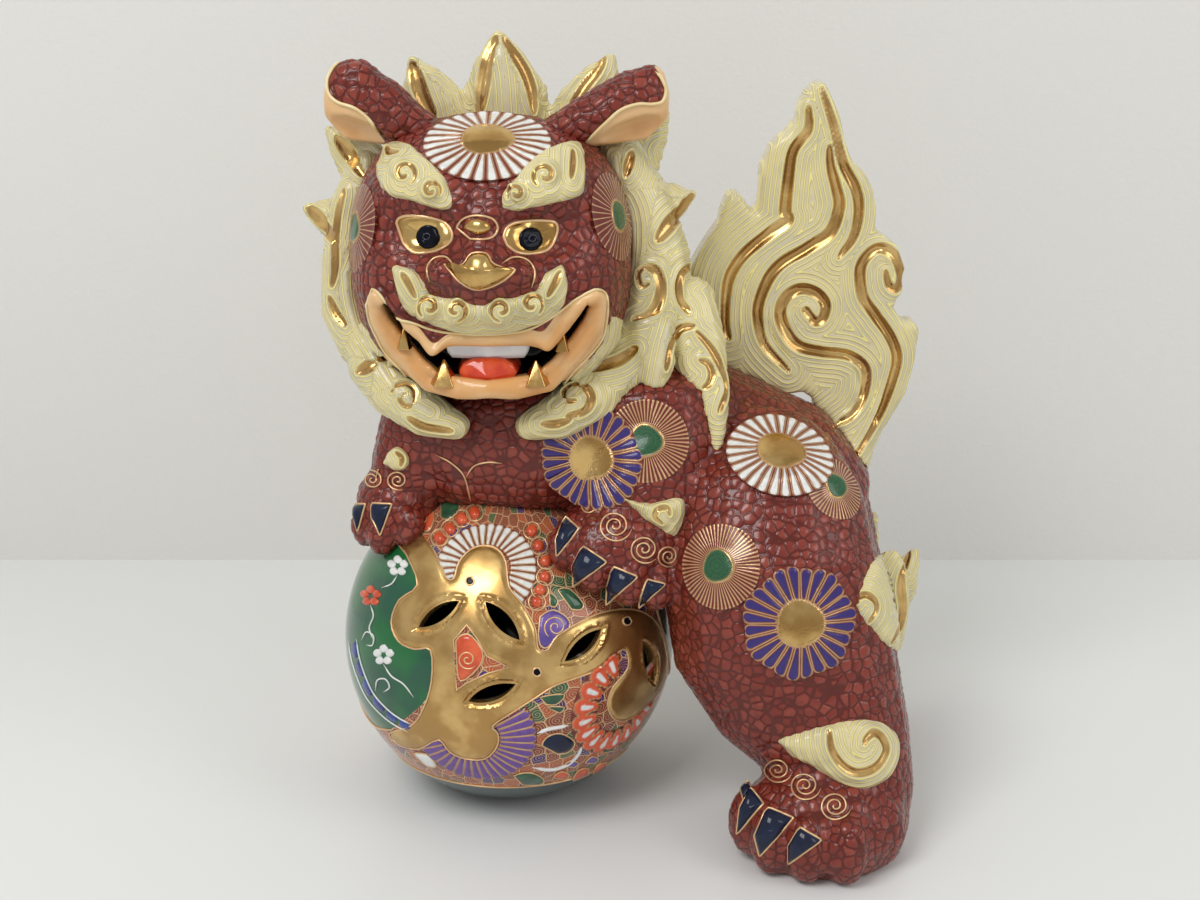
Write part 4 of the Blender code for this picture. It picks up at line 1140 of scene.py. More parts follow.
MOUTH_MIDDLE = -63.2
FURROW_WIDE, FURROW_DEPTH = 1.6, 0.5
tongue = skin_over("tongue_skin", ["tongue"], voxel=0.7, rounds=8, swell=0.6)
stood = spots(tongue)
furrow = np.exp(-(((stood[:, 0] - MOUTH_MIDDLE) / FURROW_WIDE) ** 2)) * np.clip(outward(tongue)[:, 2], 0, 1)
stood[:, 2] -= furrow * FURROW_DEPTH
put_spots(tongue, stood)
tongue.data.materials.append(plain_glaze("red_tongue_glaze", (0.62, 0.050, 0.018), (0.80, 0.11, 0.030)))
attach(tongue, "root")
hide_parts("tongue")

GUM_HEIGHT, TEETH_WIDE, TEETH_TAPER, TEETH_TALL = 251.6, 0.95, 0.012, 1.35
teeth = skin_over("teeth_skin", ["upper_teeth"], voxel=0.5, rounds=4, swell=0.9)
stood = spots(teeth)
below = GUM_HEIGHT - stood[:, 2]
stood[:, 0] = MOUTH_MIDDLE + (stood[:, 0] - MOUTH_MIDDLE) * (TEETH_WIDE - TEETH_TAPER * below)
stood[:, 2] = GUM_HEIGHT - below * TEETH_TALL
put_spots(teeth, stood)
teeth.data.materials.append(plain_glaze("white_teeth_glaze", (0.66, 0.70, 0.74), (0.80, 0.82, 0.83)))
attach(teeth, "root")
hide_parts("upper_teeth")

# Where each fang's foot is seen on the lower lip, its half width and height, and how far it sinks in
FANGS = {
    "left_front_fang": ((536, 383), 7.6, 11.5, 2.5),
    "right_front_fang": ((444, 383), 7.6, 12.0, 2.5),
    "left_side_fang": ((562, 350), 4.8, 10.5, 0.8),
    "right_side_fang": ((404, 348), 4.4, 9.5, 0.8),
}
FANG_SIDES, FANG_TIP, FANG_ROUNDING = 5, 0.5, 0.9
for name, (place, wide, tall, sunk) in FANGS.items():
    hit, _ = touch(face_tree, place)
    root = Vector(hit + (0, sunk, -sunk / 2)) * MM
    middle = root + Vector((0, 0, tall * MM / 2))
    bpy.ops.mesh.primitive_cone_add(
        vertices=FANG_SIDES, radius1=wide * MM, radius2=FANG_TIP * MM, depth=tall * MM, location=middle
    )
    fang = bpy.context.object
    fang.name = fang.data.name = name + "_gilt"
    bpy.ops.object.transform_apply(location=True)
    fang.select_set(False)
    rounded = fang.modifiers.new("rounded", "BEVEL")
    rounded.width = FANG_ROUNDING * MM
    rounded.segments = 3
    apply_all(fang)
    fang.data.shade_smooth()
    fang.data.materials.append(gold)
    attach(fang, "root")
    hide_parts(name)

# The eyes: domed almonds of burnished gold, each with a glossy black iris laid on it as thick enamel.
# Beads of gilded slip are piped round them.

EYES = [
    [(397, 223), (404, 216), (423, 216), (443, 221), (452, 231), (451, 242), (440, 250), (426, 253),
     (412, 252), (401, 239)],
    [(503, 237), (508, 226), (522, 221), (541, 220), (556, 223), (556, 237), (548, 250), (533, 254),
     (517, 253), (504, 243)],
]
IRISES = [((428, 237), 12.0), ((531, 239), 12.0)]
gilt_eyes, eye_rims = inlay("gilt_eyes", face_tree, EYES, rise=3.6, material=gold,
                            steps=4)
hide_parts("left_eye", "right_eye")
piped("eye_rims", eye_rims, 0.75, line_gold, "gold_lustre", closed=True)


def circle(middle, size, count=18):
    turn = np.linspace(0, 2 * math.pi, count, endpoint=False)
    return np.column_stack((middle[0] + size * np.cos(turn), middle[1] + size * np.sin(turn)))


eyes_tree = tree_of(gilt_eyes)
black_glaze = plain_glaze("black_iris_glaze", (0.002, 0.002, 0.004), (0.005, 0.006, 0.012), coat=0.0)
black_glaze.node_tree.nodes["Principled BSDF"].inputs["Specular IOR Level"].default_value = 0.12
inlay("irises", eyes_tree, [circle(*iris) for iris in IRISES], rise=1.3, material=black_glaze,
      sink=1.5, steps=1)
# A faint blue-grey ring on each iris, a little lighter than its black, is a painted highlight: the ring of
# light a glossy iris shows.
rings = [over(eyes_tree, circle(middle, 4.2), lift=1.7, steps=2) for middle, _ in IRISES]
iris_highlight_glaze = plain_glaze("painted_iris_highlight_glaze", (0.03, 0.035, 0.06), (0.05, 0.06, 0.09))
piped("painted_iris_highlight_rings", rings, 0.25, iris_highlight_glaze, "gold_lustre", closed=True)

# The nose and the boss between the brows: swellings of the casting that are burnished with gold.
# Each has a piped rim, and the boss's stands a little off it.

NOSE = [
    (444, 265), (454, 268), (464, 264), (472, 254), (486, 254), (492, 263), (503, 268), (515, 270),
    (504, 280), (489, 287), (475, 289), (462, 283), (452, 274),
]
BOSS = [(465, 229), (467, 222), (477, 219), (488, 222), (491, 229), (484, 234), (474, 235)]
BOSS_RIM = [(458, 228), (464, 219), (477, 216), (492, 219), (497, 228), (492, 237), (480, 240), (463, 237)]
gilt_nose, nose_rim = inlay("gilt_nose", face_tree, [NOSE], rise=5.0, material=gold,
                            power=0.7, steps=4)
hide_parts("nose")
gilt_boss, _ = inlay("gilt_boss", face_tree, [BOSS], rise=2.6, material=gold, steps=4)
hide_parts("brow_boss")
boss_rim = over(face_tree, round_outline(BOSS_RIM, 4), lift=0.6, steps=1)[:-1]
piped("nose_and_boss_rims", nose_rim + [boss_rim], 0.55, line_gold, "gold_lustre", closed=True)

# Brows, moustache and the hair along the jaw: pads of the same hair as the mane, laid on the face, with
# snail curls that stand up from them and gilded grooves that wind into the curls.

# A curl's middle in the frame, its reach, where it starts, and its hand. Lines are further grooves.
RELIEFS = {
    "right_brow": dict(
        pads=[[(382, 143), (407, 143), (421, 154), (437, 168), (449, 187), (451, 208), (434, 208), (411, 201),
               (392, 196), (379, 183), (376, 158)]],
        rise=3.6,
        curls=[((404, 173), 13.5, 60, -1), ((431, 190), 10.0, 80, -1)],
        lines=[(1.5, [(386, 147), (389, 152), (398, 152)])],
    ),
    "left_brow": dict(
        pads=[[(503, 208), (503, 194), (517, 177), (531, 160), (548, 148), (574, 141), (584, 152), (585, 184),
               (578, 197), (553, 203), (531, 208), (515, 212)]],
        rise=3.6,
        curls=[((545, 175), 13.5, 120, 1), ((516, 193), 10.0, 100, 1)],
        lines=[(1.5, [(573, 150), (573, 162), (571, 178)])],
    ),
    "moustache": dict(
        pads=[
            [(392, 268), (402, 266), (415, 271), (425, 284), (429, 298), (422, 312), (413, 316),
             (403, 306), (396, 289)],
            [(561, 264), (566, 275), (567, 290), (563, 304), (554, 311), (545, 308), (535, 298),
             (539, 284), (548, 270)],
            [(403, 306), (420, 318), (440, 328), (460, 333), (480, 335), (500, 334), (522, 329),
             (546, 321), (562, 307), (552, 298), (530, 294), (505, 299), (479, 305), (455, 299),
             (430, 296), (410, 298)],
        ],
        rise=3.8,
        curls=[((429, 307), 12.5, 120, 1), ((456, 310), 12.5, 30, -1), ((501, 310), 12.5, 150, 1),
               ((532, 304), 12.5, 60, -1)],
        lines=[(1.6, [(402, 274), (408, 283), (415, 297)]), (1.6, [(560, 272), (555, 283), (548, 296)])],
    ),
    "left_jaw": dict(
        pads=[[(611, 316), (624, 322), (622, 340), (612, 356), (600, 366), (594, 356), (603, 342),
               (606, 328)],
              [(606, 350), (608, 362), (596, 376), (580, 388), (566, 391), (570, 380), (584, 366),
               (596, 352)]],
        rise=2.6,
        curls=[],
        lines=[(-1, [(615, 322), (611, 342), (600, 360), (586, 376), (568, 388)])],
    ),
    "right_jaw": dict(
        pads=[[(362, 322), (352, 318), (354, 335), (364, 352), (377, 364), (384, 356), (374, 342),
               (368, 330)],
              [(372, 346), (368, 358), (380, 372), (396, 386), (411, 396), (423, 397), (416, 387), (400, 374),
               (386, 358)]],
        rise=2.6,
        curls=[],
        lines=[(-1, [(359, 324), (367, 344), (381, 362), (398, 380), (418, 393)])],
    ),
}
CURL_TURNS, CURL_GROOVE, CURL_RISE, CURL_SINK = 1.3, 1.15, 3.2, 2.0
for name, plan in RELIEFS.items():
    pads = [(outline, plan["rise"]) for outline in plan["pads"]]
    for middle, size, _, _ in plan["curls"]:
        pads.append((circle(middle, size * 0.95, 12), plan["rise"] + CURL_RISE))
    parts = []
    for outline, rise in pads:
        part, _ = inlay(name + "_pad", face_tree, [outline], rise, hair_glaze, CURL_SINK,
                        power=0.4, steps=4)
        parts.append(part)
    pad = joined(parts, name + "_hair")
    pad.data.materials.clear()
    reskin(pad, voxel=0.6, rounds=3)
    winds = [(CURL_GROOVE, spiral(middle, size * 0.92, CURL_TURNS, start, hand=hand)[3:])
             for middle, size, start, hand in plan["curls"]]
    comb(pad, flow_from(spots(pad), grooves_over(tree_of(pad), winds + plan["lines"])), relief=0.75)
    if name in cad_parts:
        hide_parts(name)

# The chrysanthemum on the forehead, and a flower on each side of the face that the mane partly covers.
# They are painted as those on the body are, in raised enamel inside piped lines.

forehead = flower("forehead_flower", face_tree, place=(487, 140), radius=29.5, petals=28, colour=ENAMEL_WHITE,
                  eye=None, eye_size=0.39, lift=0.9, oval=0.9, widths=(0.55, 1.95), margin=0.2, piping=0.17)
FACE_FANS = {"left_face_flower": (618, 216), "right_face_flower": (356, 228)}
fine_fern = {**FERN, "widths": (0.06, 0.22)}
for name, place in FACE_FANS.items():
    flower(name, face_tree, place, radius=21.0, petals=36, eye_size=0.34, **fine_fern)

# The ears: lobes luted to the head, pebbled red above, that roll over into a smooth flared cup below.
# The cup is glazed orange-beige, and a pale rim is piped along its edge.

EAR_CUPS = {
    "right_ear": (
        [(344, 52), (334, 66), (328, 80), (329, 93), (338, 102), (355, 108), (370, 120), (385, 141),
         (372, 170), (340, 150), (300, 120), (300, 52)],
        [(343, 60), (334, 68), (328, 80), (329, 93), (338, 102), (355, 108), (370, 120), (385, 141)],
    ),
    "left_ear": (
        [(654, 66), (661, 76), (665, 88), (663, 100), (652, 104), (637, 104), (620, 110), (604, 124),
         (581, 145), (590, 170), (650, 150), (700, 130), (700, 66)],
        [(655, 72), (661, 79), (665, 90), (662, 101), (652, 104), (637, 104), (620, 110), (604, 124),
         (581, 146)],
    ),
}


def ear_glaze():
    """Pebbled red above the rim and orange-beige in the cup."""
    material, net, shader, cup, red = red_and_skin("ear_glaze", "cup")
    skin = mixed(net, ease_between(net, cup, 1.0, 14.0), LIP_PALE, LIP_ORANGE)
    net.links.new(mixed(net, ease_between(net, cup, -0.3, 0.3), red, skin), shader.inputs["Base Color"])
    return material


# How much of its casting's height each ear keeps above the rim, by the place across the frame
EAR_SLIMMING = {
    "right_ear": [(340, 1.0), (362, 0.93), (405, 0.80), (424, 0.66), (445, 0.62)],
    "left_ear": [(560, 0.70), (575, 0.75), (597, 0.72), (632, 0.72), (650, 0.92), (665, 1.0)],
}
EAR_SCALE = 0.49
EAR_BACK, CUP_OUTSIDE = 0.35, -5.0
ear_paint = ear_glaze()
rims = []
for name, (cup_outline, rim) in EAR_CUPS.items():
    ear = skin_over(name + "_skin", [name], voxel=1.0, rounds=10, swell=0.5)
    stood = spots(ear)
    seen = seen_at(stood)
    across, down = np.array(sorted(rim)).T
    above = np.clip(np.interp(seen[:, 0], across, down) - seen[:, 1], 0, None)
    kept = np.interp(seen[:, 0], *np.array(EAR_SLIMMING[name]).T)
    stood[:, 2] -= above * (1 - kept) * EAR_SCALE
    put_spots(ear, stood)
    ear_tree = tree_of(ear)
    cup = inside_by(seen_at(spots(ear)), cup_outline) * HEAD_SCALE
    cup = np.where(outward(ear)[:, 1] > EAR_BACK, CUP_OUTSIDE, cup)
    mark(ear, "cup", cup)
    mark(ear, "pebbled", np.clip(-cup / BARE_EDGE, 0, 1))
    raise_pebbles(ear)
    ear.data.materials.append(ear_paint)
    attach(ear, "root")
    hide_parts(name)
    rims.append(over(ear_tree, rim, 0.5))
piped("ear_rims", rims, 0.8, pale_line, "gold_lustre")

# The ball: a hollow porcelain sphere pierced with almond slits. Broad gold ribbons run round the slits,
# whose lips are drawn up to a sharp edge. Between them lie a green panel and fine scrolls, and the foot is
# dark blue-green.

BALL_MIDDLE = np.array((-58.24, 11.83, 81.4))
BALL_REACH, BALL_WALL = 85.5, 5.5
SLITS = [(-23.5, 27.0, 40.0), (0.5, 26.5, -48.0), (-3.0, 3.0, 22.0), (28.5, 16.0, 28.0), (57.0, 2.0, -70.0)]
SLIT_HALF_LENGTH, SLIT_HALF_WIDTH = 12.3, 3.8
LIP_HALF_LENGTH, LIP_HALF_WIDTH = 15.5, 6.6
LIP_HEIGHT, LIP_SPREAD, VALLEY_DEPTH = 1.5, 1.9, 1.6
RIBBON_RISE, RIBBON_EDGE = 0.9, 1.2
OUT_OF_SIGHT = -99.0
RIBBON = [
    (414, 521), (391, 534), (407, 555), (418, 585), (400, 600), (392, 622), (399, 641), (415, 649),
    (431, 650), (432, 681), (424, 708), (412, 725), (390, 733), (402, 745), (420, 748), (439, 739),
    (450, 751), (466, 758), (485, 758), (497, 746), (498, 733), (493, 725), (514, 711), (536, 697),
    (555, 685), (581, 676), (600, 668), (615, 654), (625, 650), (627, 668), (612, 687), (607, 703),
    (612, 717), (624, 720), (640, 710), (659, 689), (667, 660), (660, 630), (646, 614), (627, 609),
    (603, 612), (579, 622), (557, 636), (548, 649), (538, 649), (535, 628), (522, 604), (509, 587),
    (506, 563), (498, 550), (485, 546), (471, 550), (459, 563), (454, 579), (447, 578), (442, 566),
    (433, 548),
]
RIBBON_WINDOW = [(454, 640), (467, 625), (477, 638), (487, 656), (509, 667), (488, 673), (466, 683),
                 (457, 690)]
# The green panel: its edge beside the ribbon by places of the frame, then the rest by azimuth and elevation
PANEL_RIGHT = [
    (392, 535), (407, 555), (418, 585), (400, 600), (392, 622), (399, 641), (415, 649), (431, 650),
    (432, 681), (424, 708), (412, 725),
]
PANEL_LEFT = [(-44, -19), (-62, -24), (-84, -20), (-102, -8), (-112, 10), (-112, 28), (-100, 44), (-84, 50)]
FOOT_ELEVATION = -41.0


def globe(azimuth, elevation, height=0.0):
    """A point over the ball. Azimuth 0 faces the viewer and grows to the right, both in degrees."""
    a, e = math.radians(azimuth), math.radians(elevation)
    facing = np.array((math.sin(a) * math.cos(e), -math.cos(a) * math.cos(e), math.sin(e)))
    return BALL_MIDDLE + facing * (BALL_REACH + height)


FRONT_TILT = 0.26


def unrolled(points):
    """Points of the ball laid flat round its front, true to their distance from there, in millimetres."""
    front = np.array((0, -math.cos(FRONT_TILT), math.sin(FRONT_TILT)))
    up = np.array((0, math.sin(FRONT_TILT), math.cos(FRONT_TILT)))
    facing = np.atleast_2d(points) - BALL_MIDDLE
    facing = facing / np.linalg.norm(facing, axis=1)[:, None]
    away = np.arccos(np.clip(facing @ front, -1, 1))
    x, y = facing[:, 0], facing @ up
    share = BALL_REACH * away / np.maximum(np.hypot(x, y), 1e-6)
    return np.column_stack((x * share, y * share))


def half_turned(points):
    """The same points on the far side of the ball, whose ornament repeats the front's."""
    return points * (-1, -1, 1) + (2 * BALL_MIDDLE[0], 2 * BALL_MIDDLE[1], 0)


def on_globe(places):
    """Where places of the frame lie on the ball, in millimetres."""
    rays, start = np.array([sight(*place) for place in places]), np.array(EYE) / MM - BALL_MIDDLE
    along = -(rays @ start)
    reach = along - np.sqrt(np.maximum(0.0, BALL_REACH**2 - (start @ start - along**2)))
    return start + rays * reach[:, None] + BALL_MIDDLE


def slit_frame(azimuth, elevation, slope):
    """A slit's middle and its directions: outwards, along and aside."""
    middle = globe(azimuth, elevation)
    out = (middle - BALL_MIDDLE) / BALL_REACH
    level = np.cross((0, 0, 1), out)
    level /= np.linalg.norm(level)
    s = math.radians(slope)
    along = level * math.cos(s) + np.cross(out, level) * math.sin(s)
    return middle, out, along, np.cross(out, along)


def side_radius(half_length, half_width):
    """The radius of the two arcs that make an almond."""
    return (half_length**2 + half_width**2) / (2 * half_width)


ALMOND_POINTS, SAME_SIDE, FAR_OFF = 13, -40.0, 200.0


def almond(points, slit, half_length, half_width):
    """How far points lie outside an almond, and below 0 inside it."""
    middle, out, along, aside = slit
    round_by = side_radius(half_length, half_width)
    off = points - middle
    distance = np.hypot(off @ along, np.abs(off @ aside) + round_by - half_width) - round_by
    return np.where(off @ out > SAME_SIDE, distance, FAR_OFF)


def almond_rim(slit, half_length, half_width):
    """Points round an almond, which stand square to its middle."""
    middle, _, along, aside = slit
    round_by = side_radius(half_length, half_width)
    swing = np.linspace(-1, 1, ALMOND_POINTS) * math.asin(half_length / round_by)
    x, y = round_by * np.sin(swing), round_by * np.cos(swing) - round_by + half_width
    flat = np.vstack((np.column_stack((x, y)), np.column_stack((x, -y))[-2:0:-1]))
    return middle + np.outer(flat[:, 0], along) + np.outer(flat[:, 1], aside)


slits = [slit_frame(a + repeat, e, s) for repeat in (0, 180) for a, e, s in SLITS]
ribbon_edge = on_globe(round_outline(RIBBON, 3))
panel_right = on_globe(round_outline(PANEL_RIGHT, 3)[:-3])
panel_side = np.array([globe(*place) for place in PANEL_LEFT])
flat_ribbon, flat_window = unrolled(ribbon_edge), unrolled(on_globe(RIBBON_WINDOW))
flat_panel = unrolled(np.vstack((panel_right, panel_side)))


def both_sides(points, outline):
    """How far points lie inside an outline on the front of the ball or its twin on the back."""
    best = np.full(len(points), OUT_OF_SIGHT)
    for turned in (points, half_turned(points)):
        flat = unrolled(turned)
        best = np.maximum(best, np.where(np.hypot(*flat.T) < FAR_OFF, inside_by(flat, outline), OUT_OF_SIGHT))
    return best


def ribbon_at(points):
    """How far points lie inside the ribbon, in millimetres."""
    return np.minimum(both_sides(points, flat_ribbon), -both_sides(points, flat_window))


def ball_sphere(name, subdivisions, reach):
    """A sphere about the ball's middle, with its place in its mesh."""
    middle = Vector(BALL_MIDDLE) * MM
    bpy.ops.mesh.primitive_ico_sphere_add(subdivisions=subdivisions, radius=reach * MM, location=middle)
    sphere = bpy.context.object
    sphere.name = sphere.data.name = name
    bpy.ops.object.transform_apply(location=True)
    sphere.select_set(False)
    return sphere


# The sphere, finer near the slits, and its relief: the ribbon, and a valley inside each slit's sharp lip
ball = ball_sphere("ball", subdivisions=7, reach=BALL_REACH)
form = bmesh.new()
form.from_mesh(ball.data)
places = np.array([vert.co for vert in form.verts]) / MM
near_slit = np.min([almond(places, slit, LIP_HALF_LENGTH, LIP_HALF_WIDTH) for slit in slits], axis=0) < 1.5
edges = [edge for edge in form.edges if near_slit[edge.verts[0].index] and near_slit[edge.verts[1].index]]
bmesh.ops.subdivide_edges(form, edges=edges, cuts=1, use_grid_fill=True)
bmesh.ops.triangulate(form, faces=form.faces)
form.to_mesh(ball.data)
form.free()
stood = spots(ball)
out = (stood - BALL_MIDDLE) / np.linalg.norm(stood - BALL_MIDDLE, axis=1)[:, None]
rise = RIBBON_RISE * np.clip(ribbon_at(stood) / RIBBON_EDGE, 0, 1)
for slit in slits:
    lip_at = almond(stood, slit, LIP_HALF_LENGTH, LIP_HALF_WIDTH)
    hole_at = np.maximum(almond(stood, slit, SLIT_HALF_LENGTH, SLIT_HALF_WIDTH), 0.0)
    share = np.clip(-lip_at / np.maximum(hole_at - lip_at, 1e-6), 0, 1)
    valley = LIP_HEIGHT * (1 - share) - VALLEY_DEPTH * share
    ridge = LIP_HEIGHT * np.exp(-((lip_at / LIP_SPREAD) ** 2))
    rise = np.where(lip_at < 0, valley, np.maximum(rise, ridge))
stood = BALL_MIDDLE + out * (BALL_REACH + rise)[:, None]
stood[:, 2] = np.maximum(stood[:, 2], 0.0)
put_spots(ball, stood)

# The hollow inside and the slits through the wall are cut out of it
CUT_OUTSIDE, CUT_INSIDE, CREASE = 5.0, 14.0, 0.6
hollow = ball_sphere("ball_hollow", subdivisions=5, reach=BALL_REACH - BALL_WALL)
stood = spots(hollow)
stood[:, 2] = np.maximum(stood[:, 2], BALL_WALL)
put_spots(hollow, stood)
points, faces = [], []
for slit in slits:
    rim = almond_rim(slit, SLIT_HALF_LENGTH, SLIT_HALF_WIDTH)
    count, start = len(rim), len(points)
    points += [*(rim + slit[1] * CUT_OUTSIDE), *(rim - slit[1] * CUT_INSIDE)]
    around = [*range(start, start + count)]
    faces += [tuple(around), tuple(i + count for i in reversed(around))]
    faces += [(i, i + count, j + count, j) for i, j in zip(around, around[1:] + around[:1])]
cutters = shaped("ball_slits", points, faces, gold)
for tool in (hollow, cutters):
    cut = ball.modifiers.new("pierce", "BOOLEAN")
    cut.operation = "DIFFERENCE"
    cut.solver = "MANIFOLD"
    cut.object = tool
apply_all(ball)
bpy.data.objects.remove(hollow, do_unlink=True)
bpy.data.objects.remove(cutters, do_unlink=True)
form = bmesh.new()
form.from_mesh(ball.data)
for edge in form.edges:
    edge.smooth = len(edge.link_faces) == 2 and edge.calc_face_angle() < CREASE
form.to_mesh(ball.data)
form.free()
for face in ball.data.polygons:
    face.use_smooth = True

stood = spots(ball)
mark(ball, "ribbon", ribbon_at(stood))
mark(ball, "panel", both_sides(stood, flat_panel))
mark(ball, "inside", BALL_REACH - np.linalg.norm(stood - BALL_MIDDLE, axis=1))
mark(ball, "foot", BALL_MIDDLE[2] + BALL_REACH * math.sin(math.radians(FOOT_ELEVATION)) - stood[:, 2])

PANEL_GREEN = (0.008, 0.135, 0.035)
PANEL_DEEP = (0.010, 0.085, 0.045)
FOOT_TEAL = (0.035, 0.060, 0.062)
SCROLL_RED = (0.25, 0.055, 0.030)
SCROLL_ORANGE = (0.46, 0.095, 0.035)
SCROLL_TONES = [(0.5, 0.6, SCROLL_ORANGE), (0.82, 0.86, ENAMEL_GREEN), (0.88, 0.92, ENAMEL_BLUE)]
SCROLL_CELL, SCROLL_PITCH, SCROLL_ASPECT = 6.5, 1.25, 0.82
BALL_GLOSS, GILT_ROUGHER = 0.14, 0.12
# Near black for the painted shade inside the hollow ball and deep in its slits
HOLLOW_SHADE_DARK = (0.012, 0.009, 0.007)


def scroll_paint(net, place):
    """Fine gold spirals on red and orange: each cell of a map of the ball winds round its own middle."""
    middle = tuple(BALL_MIDDLE * MM)
    off = node(net, "ShaderNodeVectorMath", {0: place, 1: middle}, operation="SUBTRACT").outputs[0]
    split = node(net, "ShaderNodeSeparateXYZ", {0: off}).outputs
    azimuth = sums(net, "ARCTAN2", split[0], sums(net, "MULTIPLY", split[1], -1.0))
    elevation = sums(net, "ARCSINE", sums(net, "DIVIDE", split[2], BALL_REACH * MM))
    level = sums(net, "MULTIPLY", azimuth, SCROLL_ASPECT)
    chart = node(net, "ShaderNodeCombineXYZ", {0: level, 1: elevation}).outputs[0]
    grid = {"Vector": chart, "Scale": BALL_REACH / SCROLL_CELL, "Randomness": 0.85}
    cells, edge = (
        node(net, "ShaderNodeTexVoronoi", grid, voronoi_dimensions="2D", feature=feature)
        for feature in ("F1", "DISTANCE_TO_EDGE")
    )
    ends = {0: chart, 1: cells.outputs["Position"]}
    away = node(net, "ShaderNodeVectorMath", ends, operation="SUBTRACT").outputs[0]
    turn = node(net, "ShaderNodeSeparateXYZ", {0: away}).outputs
    angle = sums(net, "DIVIDE", sums(net, "ARCTAN2", turn[1], turn[0]), 2 * math.pi)
    distance = sums(net, "MULTIPLY", cells.outputs["Distance"], SCROLL_CELL / SCROLL_PITCH)
    wound = sums(net, "PINGPONG", sums(net, "ADD", angle, sums(net, "ADD", distance, 8.0)), 0.5)
    line = ease_between(net, wound, 0.13, 0.05)
    border = ease_between(net, edge.outputs["Distance"], 0.055, 0.025)
    line = sums(net, "MAXIMUM", line, border)
    tint = node(net, "ShaderNodeSeparateColor", {0: cells.outputs["Color"]}).outputs
    ground = SCROLL_RED
    for channel, (low, high, tone) in enumerate(SCROLL_TONES):
        ground = mixed(net, ease_between(net, tint[channel], low, high), ground, tone)
    return mixed(net, line, ground, PIPED_GOLD), line


def ball_paint():
    """All the ball's colours, each kept to its marked field, and near-black painted shade deep in the slits
    and over the hollow inside.
    """
    material, net, shader = glaze("ball_glaze_paint", BALL_GLOSS, coat=0.4)
    place = object_place(net)
    colour, line = scroll_paint(net, place)
    panel, ribbon = attribute(net, "panel"), attribute(net, "ribbon")
    green = clouded(net, place, PANEL_DEEP, PANEL_GREEN, scale=45.0, low=0.35, high=0.65)
    gilt = ease_between(net, ribbon, -0.1, 0.1)
    # Deeper than about 3 mm below the ball's face the colour goes near black and loses its gold: painted
    # shade of the hollow's inside.
    hollow_shade = ease_between(net, attribute(net, "inside"), 3.0, 4.2)
    colour = mixed(net, ease_between(net, panel, -0.1, 0.1), colour, green)
    colour = mixed(net, ease_between(net, attribute(net, "foot"), -0.1, 0.1), colour, FOOT_TEAL)
    colour = mixed(net, gilt, colour, gold_tone(net, place))
    net.links.new(mixed(net, hollow_shade, colour, HOLLOW_SHADE_DARK), shader.inputs["Base Color"])
    bare = sums(net, "MULTIPLY", gilt, sums(net, "SUBTRACT", 1.0, hollow_shade))
    net.links.new(sums(net, "MULTIPLY", bare, GILT_SHINE), shader.inputs["Metallic"])
    rougher = sums(net, "MULTIPLY", gilt, GILT_ROUGHER)
    net.links.new(sums(net, "ADD", BALL_GLOSS, rougher), shader.inputs["Roughness"])
    plain = ease_between(net, sums(net, "MAXIMUM", panel, ribbon), -0.1, -0.5)
    roughen(net, shader, sums(net, "MULTIPLY", line, plain), strength=0.8, rise=0.5)
    return material


ball.data.materials.clear()
ball.data.materials.append(ball_paint())
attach(ball, "root")
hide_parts("ball_shell")
ball_tree = tree_of(ball)

# The enamels on the ball: flowers whose middles are the ribbon's lobes, beads, leaves and spirals, each
# inside a piped gold line, and blossoms and waves on the green panel. The far side repeats them.

BALL_FANS = {
    "ball_white_flower": dict(place=(484, 568), radius=25.0, petals=34, colour=ENAMEL_WHITE, foot=12.2,
                              start=-38, sweep=236, widths=(0.4, 1.4), piping=0.16, lift=0.7),
    "ball_violet_flower": dict(place=(470, 737), radius=31.5, petals=38, colour=ENAMEL_VIOLET, foot=14.0,
                               start=192, sweep=198, widths=(0.7, 2.0)),
    "ball_orange_flower": dict(place=(624, 703), radius=29.5, petals=18, colour=ENAMEL_ORANGE, foot=16.0,
                               start=98, sweep=290, widths=(1.9, 4.5), inner=ENAMEL_WHITE, lift=0.7),
}
ORANGE_BEADS = [
    (440, 538), (450, 529), (462, 519), (475, 513), (532, 531), (539, 546), (546, 561), (545, 577),
    (540, 590), (537, 602),
]
ORANGE_PATCHES = [
    [(411, 518), (420, 509), (432, 511), (434, 520), (429, 531), (420, 529)],
    [(456, 641), (468, 634), (480, 646), (483, 657), (477, 669), (461, 681), (457, 664)],
    [(553, 777), (561, 771), (569, 774), (563, 780)],
    [(573, 780), (578, 770), (588, 768), (586, 777)],
    [(593, 774), (597, 765), (606, 762), (604, 770)],
]
VIOLET_PATCHES = [
    [(564, 765), (571, 760), (578, 763), (571, 768)],
    [(585, 762), (592, 756), (598, 759), (591, 764)],
    [(540, 617), (553, 610), (567, 618), (569, 628), (557, 636), (548, 647), (540, 645), (538, 628)],
]
GREEN_LEAVES = [
    [(441, 503), (457, 501), (459, 511), (448, 520), (439, 515)],
    [(558, 591), (569, 589), (583, 604), (579, 610), (567, 607)],
    [(549, 593), (557, 600), (555, 607), (548, 604)],
    [(540, 697), (564, 694), (556, 704), (542, 703)],
    [(547, 707), (564, 707), (556, 714)],
    [(514, 775), (530, 772), (543, 778), (540, 784), (515, 783)],
    [(600, 752), (612, 746), (618, 738), (610, 756)],
]
NAVY_PATCHES = [[(542, 745), (548, 736), (560, 733), (572, 739), (574, 745), (567, 752), (553, 753)]]
WHITE_PATCHES = [[(414, 753), (427, 754), (436, 763), (434, 767), (423, 763)]]
WHITE_ARCS = [
    [(537, 733), (547, 729), (558, 727), (568, 725)],
    [(532, 767), (551, 769), (567, 764), (577, 755), (582, 745)],
]
PATCH_SPIRALS = [((422, 520), 8, 2.0, 200), ((468, 659), 10, 2.0, 320), ((555, 627), 12, 2.0, 250)]
